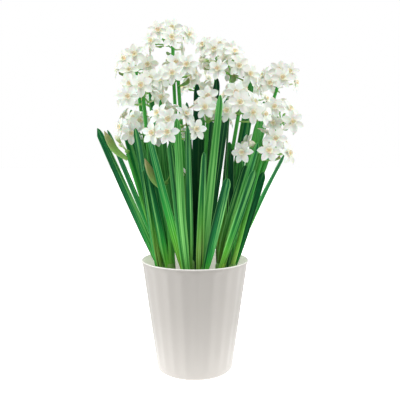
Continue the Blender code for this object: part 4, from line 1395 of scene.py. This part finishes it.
for number, place in enumerate(bulb_places()):
    bulb = copy_of(first_bulb)
    points = points_of(bulb)
    angle = np.arctan2(points[:, 1], points[:, 0])
    radius = np.hypot(points[:, 0], points[:, 1])
    along = points[:, 2] - MIX_TOP + BULB_DEPTH
    along = np.clip(along / (BULB_DEPTH + BULB_NECK_HEIGHT), 0, 1)
    phases = bulb_rng.uniform(0, math.tau, len(BULB_RIBS))
    ribs = sum(height * np.sin(count * angle + phase + turn * along)
               for (count, height, turn), phase in zip(BULB_RIBS, phases))
    radius *= BULB_SHRINK + ribs * np.clip(radius / (8 * MM), 0, 1)
    points[:, 0] = radius * np.cos(angle)
    points[:, 1] = radius * np.sin(angle)
    mark_growth(bulb, angle / math.pi, along, bulb_rng.random())
    set_points(bulb, points)
    bulb.data.transform(Matrix.Translation((place.x, place.y, 0)))
    bulb = joined(f"bulb_{number + 1}_skin", [bulb], 60)
    finish_piece(bulb, bulb_finish, "bulb", f"bulb_{number + 1}")
put_away(first_bulb)
print("bulb faces:", len(bulb.data.polygons))

# %% [markdown]
# ## Curves that the leaves and stems follow
# The settled strands are known at a few heights. A leaf bends smoothly between them, so a curve
# with matching slopes is drawn through those points, and a leaf or a stem is laid along it.

# %% Smooth curves through the settled points
KNOTS = np.array((0.0,) + SECTION_SHARES)
LOOK_AROUND = 0.005


def smooth_curve(knots, values, at):
    """A curve that bends gently through the values at the knots, read at other places."""
    slopes = np.gradient(values, knots, axis=0)
    place = np.clip(np.searchsorted(knots, at, side="right") - 1, 0, len(knots) - 2)
    step = (knots[place + 1] - knots[place])[:, None]
    part = (at - knots[place])[:, None] / step
    return ((2 * part ** 3 - 3 * part ** 2 + 1) * values[place]
            + (part ** 3 - 2 * part ** 2 + part) * step * slopes[place]
            + (3 * part ** 2 - 2 * part ** 3) * values[place + 1]
            + (part ** 3 - part ** 2) * step * slopes[place + 1])


def unit_rows(rows):
    """Each row as a direction of length 1."""
    return rows / np.linalg.norm(rows, axis=1)[:, None]


def curve_and_way(knots, values, shares, look):
    """Points of a smooth curve and its directions there, seen from a little behind to ahead."""
    middle = smooth_curve(knots, values, shares)
    ahead = smooth_curve(knots, values, np.clip(shares + look, 0, 1))
    behind = smooth_curve(knots, values, np.clip(shares - look, 0, 1))
    return middle, unit_rows(ahead - behind)


def along_strand(strand, path, shares, top=0.0):
    """The middle line of a strand and its directions, at shares of its height."""
    rise = strand.end.z - top - strand.foot.z
    corners = np.array([strand_point(levels, path, strand.foot.z + knot * rise)
                        for knot in KNOTS])
    return curve_and_way(KNOTS, corners, shares, LOOK_AROUND)


def ring_round(middle, wide, deep, angle, radius):
    """Points round a line: each at its angle and radius from the line's point."""
    ring = wide * np.cos(angle)[:, None] + deep * np.sin(angle)[:, None]
    return middle + ring * radius[:, None]


print("knots:", [float(knot) for knot in KNOTS])

# %% [markdown]
# ## The leaves
# A narcissus leaf is a strap, about a centimetre wide, hollow on its inner face, keeled on its
# back and blunt at its tip. One flat strap is modelled: a grid, extruded to a thin block. Each
# leaf is a copy whose points are carried to the strand: along its curve, across its width and
# out to its keel. A curve modifier could bend the strap too, but wouldn't turn and taper it. A
# leaf is fleshy, so it keeps a body in its middle and is thin only towards its margins.

# %% One strap for all the leaves
LEAF_COLUMNS = 8
LEAF_ROWS = 40

strap = flat_block("strap", LEAF_COLUMNS, LEAF_ROWS)
print("strap faces:", len(strap.data.polygons))

# %% The outline and the cross-section of a leaf
LEAF_THICKNESS = 1.8 * MM
LEAF_OUTLINE_KNOTS = np.array((0.0, 0.03, 0.12, 0.25, 0.45, 0.7, 0.94))
LEAF_OUTLINE = np.array((0.40, 0.44, 0.68, 0.90, 1.0, 0.97, 0.84))
TIP_START = 0.94
TIP_BLUNTNESS = 0.6
TIP_WIDTH = 0.05


def leaf_outline(share):
    """A leaf's half width as a share of its widest: straight sides and a blunt, rounded tip."""
    straight = smooth_curve(LEAF_OUTLINE_KNOTS, LEAF_OUTLINE[:, None],
                            np.minimum(share, TIP_START))
    into_tip = np.clip((share - TIP_START) / (1 - TIP_START), 0, 1)
    return straight[:, 0] * np.maximum((1 - into_tip ** 2) ** TIP_BLUNTNESS, TIP_WIDTH)


def leaf_depth(shape):
    """A leaf is thickest where it is widest."""
    return LEAF_THICKNESS * (0.35 + shape / 2)


def leaf_section(across, back, ripple):
    """How far out each point of a leaf lies: hollow inside, keeled at the back."""
    inner = -0.42 + 0.38 * (1 - across ** 2)
    outer = -0.20 + 1.10 * (1 - np.abs(across) ** 1.4)
    return inner + (outer - inner) * back + ripple


thickness = leaf_depth(1) * (leaf_section(0, 1, 0) - leaf_section(0, 0, 0))
print("a leaf's middle is", round(thickness / MM, 1), "mm thick")

# %% Lay the leaves
ROW_CROWDING = 1.35
LEAF_RIPPLE = 0.10
RIPPLES = 9
leaf_rng = np.random.default_rng(12)


def lay_leaf(strand, path):
    """A copy of the strap, carried along a leaf's strand."""
    leaf = copy_of(strap)
    across, row, back = points_of(leaf).T
    share = 1 - (1 - (row + 1) / 2) ** ROW_CROWDING
    middle, along = along_strand(strand, path, share)
    turn = strand.facing + math.pi / 2 + strand.twist * share
    wide = np.column_stack((np.cos(turn), np.sin(turn), np.zeros(len(turn))))
    wide = unit_rows(wide - along * np.sum(wide * along, axis=1)[:, None])
    keel = unit_rows(np.cross(wide, along))
    shape = leaf_outline(share)
    ripple = LEAF_RIPPLE * np.sin(share * RIPPLES + leaf_rng.uniform(0, 6)) * across
    out = leaf_depth(shape) * leaf_section(across, back, ripple)
    points = middle + wide * (strand.width / 2 * shape * across)[:, None] + keel * out[:, None]
    points[:, 2] = np.minimum(points[:, 2], strand.end.z)
    mark_growth(leaf, across, share, leaf_rng.random())
    set_points(leaf, points)
    return leaf


for index in range(len(SHOOTS)):
    leaves = [lay_leaf(strand, path) for strand, path in zip(strands, paths)
              if strand.is_leaf and strand.shoot == index]
    leaves = joined(f"shoot_{index + 1:02d}_leaves", leaves, 70)
    finish_piece(leaves, leaf_finish, "leaf", f"shoot_{index + 1:02d}")
put_away(strap)
print("leaves laid:", sum(strand.is_leaf for strand in strands))

# %% [markdown]
# ## The flower stems and the sheaths
# A flower stem is a round stalk with two faint ridges. Where it leaves the bulb, a papery
# sheath wraps it together with its leaves. Both start as one raised cylinder of height 1, laid
# along the strand as the leaves were. A bevelled curve would give a stem too, but it has the
# same round section all the way.

# %% The stems and the sheaths
STEM_STEPS = 14
STEM_ROWS = 30
SHEATH_RIBS = 7

stalk = upright_cylinder("stalk", STEM_ROWS, STEM_STEPS)
stem_rng = np.random.default_rng(31)


def lay_stem(strand, path):
    """A copy of the stalk, carried along a stem's strand up to its umbel."""
    stem = copy_of(stalk)
    side, front, share = points_of(stem).T
    middle, along = along_strand(strand, path, share, HUB_HEIGHT / 2)
    angle = np.arctan2(front, side)
    radius = STEM_RADIUS * (1.04 - 0.16 * share) * (0.97 + 0.05 * np.cos(2 * angle + share * 4))
    wide = unit_rows(np.cross(along, np.array((0.0, 1.0, 0.0))))
    mark_growth(stem, angle / math.pi, share, stem_rng.random())
    set_points(stem, ring_round(middle, wide, np.cross(along, wide), angle, radius))
    return stem


def lay_sheath(strand, path):
    """The papery sleeve round the foot of a shoot, with a torn edge."""
    sheath = copy_of(stalk)
    side, front, share = points_of(sheath).T
    heights = strand.foot.z + share * SHEATH_HEIGHT
    middle = np.array([strand_point(levels, path, height) for height in heights])
    angle = np.arctan2(front, side)
    radius = SHEATH_RADIUS * (0.86 + 0.16 * share - 0.45 * np.clip(share - 0.9, 0, 1) * 5)
    radius = radius * (1 + 0.03 * np.sin(SHEATH_RIBS * angle + stem_rng.uniform(0, 6)))
    middle[:, 0] += radius * np.cos(angle)
    middle[:, 1] += radius * np.sin(angle)
    mark_growth(sheath, angle / math.pi, share, stem_rng.random())
    set_points(sheath, middle)
    return sheath


for index in range(len(SHOOTS)):
    name = f"shoot_{index + 1:02d}"
    strand, path = next((strand, path) for strand, path in zip(strands, paths)
                        if strand.shoot == index and not strand.is_leaf)
    stem = joined(f"{name}_stem", [lay_stem(strand, path)], 70)
    finish_piece(stem, stem_finish, "leaf", name)
    sheath = joined(f"{name}_sheath", [lay_sheath(strand, path)], 70)
    finish_piece(sheath, sheath_finish, "leaf", name)
put_away(stalk)
print("stems and sheaths:", len(SHOOTS))

# %% [markdown]
# ## The spathes
# Under each umbel hangs the spathe, the papery leaf that wrapped the buds before they opened.
# On most shoots it is a thin dry tongue. On two shoots it is still shut and swollen round its
# buds. The tongue starts as a small flat block, the swollen one as a raised cylinder. Each copy
# is carried along the line that the layout found for it, as the leaves were. Carried that way,
# a spathe comes out inside out, so its faces are turned round afterwards.

# %% The first tongue and the first bag
TONGUE_COLUMNS = 6
TONGUE_ROWS = 16
BAG_STEPS = 18
BAG_ROWS = 24

tongue = flat_block("tongue", TONGUE_COLUMNS, TONGUE_ROWS)
bag = upright_cylinder("bag", BAG_ROWS, BAG_STEPS)
print("tongue faces:", len(tongue.data.polygons), "bag faces:", len(bag.data.polygons))

# %% The spathes
# Each outline: shares of the way to the tip, and the width there as a share of the widest.
BAG_OUTLINE = ((0, 0.08, 0.25, 0.45, 0.65, 0.82, 0.94, 1),
               (0.5, 0.58, 0.8, 0.97, 1, 0.72, 0.3, 0.06))
TONGUE_OUTLINE = ((0, 0.15, 0.4, 0.7, 0.9, 1), (0.42, 0.75, 1.0, 0.85, 0.45, 0.05))
TONGUE_THICKNESS = 0.35
TONGUE_RIPPLE = 0.5 * MM
TONGUE_ARC = 1.2
TONGUE_LIFT = 1.1 * MM
SPATHE_LOOK_AROUND = 0.02
spathe_rng = np.random.default_rng(44)


def lay_spathe(index, rows):
    """A spathe along its rows: a thin curled tongue, or a bag that is still shut."""
    swollen = index in SWOLLEN_SPATHES
    piece = copy_of(bag if swollen else tongue)
    first, second, third = points_of(piece).T
    share = third if swollen else (second + 1) / 2
    line = np.array([here for here, half in rows])
    middle, along = curve_and_way(np.array(SPATHE_KNOTS), line, share, SPATHE_LOOK_AROUND)
    wide = unit_rows(np.cross(along, np.array((0.0, 0.0, 1.0))))
    keel = np.cross(wide, along)
    if swollen:
        angle = np.arctan2(second, first)
        across = angle / math.pi
        shape = np.interp(share, *BAG_OUTLINE)
        radius = SWOLLEN_SPATHE_RADIUS * shape * (0.97 + 0.03 * np.cos(3 * angle + share * 2))
        points = ring_round(middle, wide, keel, angle, radius)
    else:
        across = first
        half = SPATHE_WIDTH / 2 * np.interp(share, *TONGUE_OUTLINE)
        curl = (1 - np.cos(first * 1.1)) * half * 0.9
        thick = third * TONGUE_THICKNESS * MM
        ripple = TONGUE_RIPPLE * np.sin(share * 11 + spathe_rng.uniform(0, 6)) * first * share
        out = half * np.sin(first * TONGUE_ARC) / math.sin(TONGUE_ARC)
        points = middle + wide * out[:, None]
        points = points + keel * (TONGUE_LIFT - curl - thick + ripple)[:, None]
    mark_growth(piece, across, share, spathe_rng.random())
    set_points(piece, points)
    piece.data.flip_normals()
    return piece


for index, rows in enumerate(spathes):
    spathe = joined(f"shoot_{index + 1:02d}_spathe", [lay_spathe(index, rows)], 80)
    finish_piece(spathe, spathe_finish, "leaf", f"shoot_{index + 1:02d}")
put_away(tongue, bag)
print("spathes:", len(spathes))

# %% [markdown]
# ## The petals of one flower
# A paperwhite has six pointed petals in two layers of three. One petal is a small grid with a
# thin wall. Its copies are shaped one by one: an oval outline with a fine point, a crease down
# the middle, edges that cup or curl, and a tip that leans forwards or back. Four flowers are
# made this way, and all the others are copies of those four, rolled and scaled.

# %% The first petal
PETAL_KNOTS = np.array((0.0, 0.18, 0.38, 0.6, 0.8, 0.93, 1.0))
PETAL_HALF_WIDTHS = np.array((0.10, 0.19, 0.27, 0.285, 0.21, 0.10, 0.012))
PETAL_COLUMNS = 4

clear_selection()
bpy.ops.mesh.primitive_grid_add(x_subdivisions=len(PETAL_KNOTS) - 1,
                                y_subdivisions=PETAL_COLUMNS, size=2)
petal = bpy.context.object
petal.name = "petal"
print("petal faces:", len(petal.data.polygons))

# %% Four flowers of six petals
FLOWER_KINDS = 4
PETALS = 6
PETAL_START = 0.12
PETAL_REACH = 1.04
PETAL_THICKNESS = 0.35 * MM
petal_rng = np.random.default_rng(71)


def shaped_petal(number):
    """A copy of the petal, shaped for one of a flower's six places.

    All lengths are shares of the flower's radius until the last step. The rise adds up the
    two layers, the arch, the lean of the tip, the cupped edges, the crease and a wave.
    """
    copy = copy_of(petal)
    row, across, _ = points_of(copy).T
    step = np.rint((row + 1) / 2 * (len(PETAL_KNOTS) - 1)).astype(int)
    share = PETAL_KNOTS[step]
    inner = number % 2
    lean, cupping, wave, twist, stretch = petal_rng.normal(0, 1, 5)
    half = PETAL_HALF_WIDTHS[step] * (1.08 if inner else 0.98) * (1 + 0.05 * stretch)
    reach = PETAL_START + (PETAL_REACH - 0.02 * abs(twist) - PETAL_START) * share
    rise = 0.04 * inner - 0.02 + 0.06 * np.sin(share * math.pi * 0.9) * (0.5 + 0.25 * cupping)
    rise += (0.035 * lean - 0.03) * share ** 2 - 0.05 * (1 - share) ** 2
    rise += across ** 2 * half * (0.18 + 0.16 * cupping)
    rise -= 0.035 * (1 - np.abs(across)) ** 2 * np.sin(share * math.pi)
    rise += 0.022 * wave * across * np.sin(share * 7 + 2 * twist)
    sideways = across * half + 0.03 * twist * share ** 2
    mark_growth(copy, across, share, petal_rng.random())
    set_points(copy, np.column_stack((reach, sideways, rise)) * FLORET_RADIUS)
    clear_selection()
    copy.select_set(True)
    bpy.context.view_layer.objects.active = copy
    wall = copy.modifiers.new("wall", "SOLIDIFY")
    wall.thickness = PETAL_THICKNESS
    wall.offset = 0
    bpy.ops.object.modifier_apply(modifier="wall")
    copy.data.transform(Matrix.Rotation(math.tau * (number + 0.5) / PETALS, 4, "Z"))
    return copy


flowers = [joined(f"flower_{kind}", [shaped_petal(number) for number in range(PETALS)], 75)
           for kind in range(FLOWER_KINDS)]
put_away(petal)
print("faces of one flower's petals:", len(flowers[0].data.polygons))

# %% [markdown]
# ## The cup and the anthers
# In the middle of a flower stands a small shallow cup with a wavy rim. Three anthers show at
# its mouth, round the stigma. The cup is raised up its outside and down its inside, and its rim
# is then pushed in and out. The anthers are too small for more than stretched balls.

# %% The cup with its wavy rim
CUP_RADIUS = 4.2 * MM
CUP_STEPS = 20
# The cup's rings: each radius as a share of its widest, and each height in millimetres.
CUP_ROWS = ((0.42, -0.9), (0.56, 0.3), (0.78, 1.5), (0.92, 2.7), (0.985, 3.75), (0.93, 3.9),
            (0.84, 2.7), (0.68, 1.6), (0.42, 1.0), (0.10, 0.8))
FRILL_START = 1.5 * MM
FRILL_HEIGHT = 2.4 * MM
FRILL_DEPTH = 0.05
FRILL_DROP = 0.35 * MM

cup_rows = [(CUP_RADIUS * share, height * MM) for share, height in CUP_ROWS]
cup = raise_rings("cup", cup_rows, CUP_STEPS)
points = points_of(cup)
angle = np.arctan2(points[:, 1], points[:, 0])
rim = np.clip((points[:, 2] - FRILL_START) / FRILL_HEIGHT, 0, 1)
points[:, :2] *= (1 - FRILL_DEPTH * rim * (1 + np.cos(6 * angle)) / 2)[:, None]
points[:, 2] -= FRILL_DROP * rim * (1 + np.cos(10 * angle + 1)) / 2
row_of_point = np.arange(len(points)) // CUP_STEPS
inward = np.clip(row_of_point / (len(CUP_ROWS) - 1), 0, 1)
set_points(cup, points)
mark_growth(cup, angle / math.pi, inward, 0.5)
print("cup faces:", len(cup.data.polygons))

# %% Three anthers round the stigma
ANTHER_SIZE = (0.48 * MM, 0.48 * MM, 0.9 * MM)
ANTHER_RING = 0.85 * MM
ANTHER_TURN = 0.4
ANTHER_HEIGHT = 2.4
ANTHER_STEP = 0.3
STIGMA_SIZE = (0.4 * MM, 0.4 * MM, 1.2 * MM)
STIGMA_HEIGHT = 2.1 * MM


def stretched_ball(name, place, size, segments, rings):
    """A ball at a place, stretched to its three half sizes."""
    clear_selection()
    bpy.ops.mesh.primitive_uv_sphere_add(segments=segments, ring_count=rings, radius=1)
    ball = bpy.context.object
    ball.name = name
    ball.data.transform(Matrix.Translation(place) @ Matrix.Diagonal((*size, 1)))
    return ball


anthers = []
for number in range(3):
    turn = math.tau * number / 3 + ANTHER_TURN
    spot = (ANTHER_RING * math.cos(turn), ANTHER_RING * math.sin(turn),
            (ANTHER_HEIGHT - ANTHER_STEP * number) * MM)
    anthers.append(stretched_ball("anther", spot, ANTHER_SIZE, 6, 5))
anthers.append(stretched_ball("stigma", (0, 0, STIGMA_HEIGHT), STIGMA_SIZE, 6, 5))
anthers = joined("anthers", anthers, 80)
print("anther faces:", len(anthers.data.polygons))

# %% [markdown]
# ## Stalks, tubes and buds
# Behind each flower is a slender tube, then the swelling of its seed pod, then a thin stalk to
# the top of the stem. A bud has the same stalk with a shut, pointed head. One cylinder serves
# for both: its rings are moved along a gently bent line and given the width of each part.

# %% A cylinder for the stalks, and how it is carried to a bent line
TUBE_STEPS = 8
BUD_STEPS = 12
TUBE_ROWS = 20
BEND_ROUNDING = 3.5 * MM
ROUNDING_STEPS = 7
STALK_LOOK_AROUND = 0.02
STRAIGHT_ENOUGH = 0.05
STALK_SPAN = 40 * MM

tube = upright_cylinder("tube", TUBE_ROWS, TUBE_STEPS)
bud_body = upright_cylinder("bud_body", TUBE_ROWS, BUD_STEPS)
stalk_rng = np.random.default_rng(93)


def way_along(corners, shares):
    """Points at shares of the way along a line of corners, rounded where it bends."""
    lengths = np.linalg.norm(np.diff(corners, axis=0), axis=1)
    marks = np.concatenate(([0.0], np.cumsum(lengths)))
    distance = np.clip(shares, 0, 1) * marks[-1]
    window = np.minimum(BEND_ROUNDING, np.minimum(distance, marks[-1] - distance))
    total = np.zeros((len(distance), 3))
    for step in np.linspace(-1, 1, ROUNDING_STEPS):
        for axis in range(3):
            total[:, axis] += np.interp(distance + step * window, marks, corners[:, axis])
    return total / ROUNDING_STEPS, marks[-1]


def lay_round(piece, corners, widths):
    """Carry an upright cylinder to a bent line, with a width for each distance from its end."""
    side, front, share = points_of(piece).T
    corners = np.array(corners)
    middle, length = way_along(corners, share)
    along = unit_rows(way_along(corners, share + STALK_LOOK_AROUND)[0]
                      - way_along(corners, share - STALK_LOOK_AROUND)[0])
    chord = Vector(corners[-1] - corners[-2])
    across = Vector(corners[1] - corners[0]).cross(chord)
    if across.length < STRAIGHT_ENOUGH * chord.length ** 2:
        across = chord.orthogonal()
    wide = np.array(across.normalized())
    wide = unit_rows(wide - along * (along @ wide)[:, None])
    angle = np.arctan2(front, side)
    from_end = (1 - share) * length
    radius = np.interp(from_end, *widths)
    mark_growth(piece, angle / math.pi, 1 - from_end / STALK_SPAN, stalk_rng.random())
    set_points(piece, ring_round(middle, wide, np.cross(along, wide), angle, radius))
    return piece


print("tube faces:", len(tube.data.polygons), "bud faces:", len(bud_body.data.polygons))

# %% The stalks of flowers and buds, and the heads of buds
# Each outline: distances from the flower's end and the radius there, in millimetres.
FLOWER_STALK = np.array(((0, 2.5, 5, 9, 10.5, 12.5, 15, 17, 60),
                         (1.8, 1.3, 1.15, 1.1, 1.45, 1.95, 1.6, 1.0, 0.95))) * MM
BUD_STALK = np.array(((0, 1.5, 3.5, 5, 60), (1.2, 1.8, 1.4, 1.0, 0.95))) * MM
BUD_HEAD = np.array(((0, 0.8, 3, 6.5, 10, 14, 17.5),
                     (0.15, 0.8, 2.2, 3.2, 2.9, 1.7, 1.1))) * MM
BUD_LENGTH = 17 * MM
KNOB_DEPTH_SHARE = 0.3
TUBE_INSET = 0.6
HEAD_OVERLAP = 1.2
HEAD_REACH = 0.34


def stalk_start(floret):
    """Where a stalk leaves the knob: just inside it, on the side of its flower."""
    return floret.hub + (floret.bend - floret.hub).normalized() * HUB_RADIUS * KNOB_DEPTH_SHARE


def floret_stalk(floret):
    """The stalk, seed pod and tube behind an open flower."""
    corners = (stalk_start(floret), floret.bend, floret.centre - floret.facing * TUBE_INSET * MM)
    return lay_round(copy_of(tube), corners, FLOWER_STALK)


def bud_stalk(floret):
    """The stalk behind a bud."""
    middle = stalk_start(floret).lerp(floret.bend, 0.5)
    return lay_round(copy_of(tube), (stalk_start(floret), middle, floret.bend), BUD_STALK)


def bud_head(floret):
    """A shut bud: a spindle that comes to a point."""
    start = floret.bend - floret.facing * HEAD_OVERLAP * MM
    end = floret.centre + floret.facing * BUD_LENGTH * HEAD_REACH
    return lay_round(copy_of(bud_body), (start, start.lerp(end, 0.5), end), BUD_HEAD)


print("outlines:", FLOWER_STALK.shape[1], BUD_STALK.shape[1], BUD_HEAD.shape[1])

# %% [markdown]
# ## The umbels
# Now each umbel is put together: a green knob on top of the stem, the stalks, the petals, the
# cups, the anthers, and the buds where it has some. Like parts of an umbel are joined, so that
# each umbel is a handful of pieces.

# %% Put the umbels together
KNOB_SHARE = 0.55


def floret_place(floret):
    """Where a flower stands, how it is turned and its size."""
    turn = floret_turn(floret.facing, floret.roll).to_4x4()
    return Matrix.Translation(floret.centre) @ turn @ Matrix.Scale(floret.size, 4)


def knob_for(hub):
    """The green knob on a stem's top, where the stalks of an umbel meet."""
    size = (HUB_RADIUS, HUB_RADIUS, HUB_HEIGHT * KNOB_SHARE)
    knob = stretched_ball("knob", hub, size, 14, 9)
    mark_growth(knob, 0.0, 0.05, 0.5)
    return knob


kind_rng = np.random.default_rng(17)
for index, shoot in enumerate(SHOOTS):
    name = f"umbel_{index + 1:02d}"
    members = [floret for floret in florets if floret.shoot == index]
    open_ones = [floret for floret in members if not floret.is_bud]
    shut_ones = [floret for floret in members if floret.is_bud]
    stalks = [knob_for(Vector(shoot.umbel) * MM)]
    stalks += [floret_stalk(floret) for floret in open_ones]
    stalks += [bud_stalk(floret) for floret in shut_ones]
    finish_piece(joined(f"{name}_stalks", stalks, 80), stalk_finish, "leaf", name)
    if open_ones:
        places = [floret_place(floret) for floret in open_ones]
        kinds = kind_rng.integers(0, FLOWER_KINDS, len(places))
        petals = [copy_of(flowers[kind], place) for kind, place in zip(kinds, places)]
        finish_piece(joined(f"{name}_petals", petals, 75), petal_finish, "petal", name)
        cups = [copy_of(cup, place) for place in places]
        finish_piece(joined(f"{name}_cups", cups, 75), cup_finish, "petal", name)
        hearts = [copy_of(anthers, place) for place in places]
        finish_piece(joined(f"{name}_anthers", hearts, 80), anther_finish, "petal", name)
    if shut_ones:
        heads = [bud_head(floret) for floret in shut_ones]
        finish_piece(joined(f"{name}_buds", heads, 80), bud_finish, "petal", name)
put_away(*flowers, cup, anthers, tube, bud_body)

# %% [markdown]
# ## The floor
# The pot stands on a wide pale sheet. It is far wider than the view, so no edge of it shows. For
# the camera it glows as white as the room. For the plant it glows fully only in a ring close to
# the pot, as a lit table does, which brightens the pot's foot, and dimly further out.

# %% The floor
FLOOR_SIZE = 40
FLOOR_DROP = 0.0004
# The ring that lights the foot: where the glow starts to fade and ends, and how bright it is.
GLOW_FADE = (0.09, 0.20)
GLOW_NEAR = 1.0
GLOW_FAR = 0.1

clear_selection()
bpy.ops.mesh.primitive_grid_add(x_subdivisions=8, y_subdivisions=8, size=FLOOR_SIZE,
                                location=(0, 0, -FLOOR_DROP))
floor = bpy.context.object
floor.name = "pale_floor"
floor_finish, tree, shader = new_finish("pale_floor", roughness=0.6, Specular_IOR_Level=0.1)
tint = group_in(tree, clouds, Place=object_place(tree), Scale=3.0, Sharpness=0.6,
                First=(0.97, 0.97, 0.97), Second=(0.955, 0.955, 0.955))
link(tree, tint["Color"], shader["Base Color"])
shader["Emission Color"].default_value = (1, 1, 1, 1)
seen = tree.nodes.new("ShaderNodeLightPath")
length = tree.nodes.new("ShaderNodeVectorMath")
length.operation = "LENGTH"
link(tree, object_place(tree), length.inputs[0])
near_pot = tree.nodes.new("ShaderNodeMapRange")
for label, value in zip(("From Min", "From Max", "To Min", "To Max"),
                        (*GLOW_FADE, GLOW_NEAR, GLOW_FAR)):
    near_pot.inputs[label].default_value = value
link(tree, length.outputs["Value"], near_pot.inputs["Value"])
glow = math_node(tree, "MAXIMUM", seen.outputs["Is Camera Ray"], near_pot.outputs["Result"])
link(tree, glow, shader["Emission Strength"])
floor.data.materials.append(floor_finish)
floor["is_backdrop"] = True
print("floor laid")

# %% [markdown]
# ## Sizes and the end
# The dressed plant is held within the CAD part's box, and both boxes are printed.

# %% Print the boxes to compare them
visual_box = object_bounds()
for label, (low, high) in (("cad", cad_box), ("visual", visual_box)):
    print(label, [round(value / MM, 1) for value in (*low, *high)])
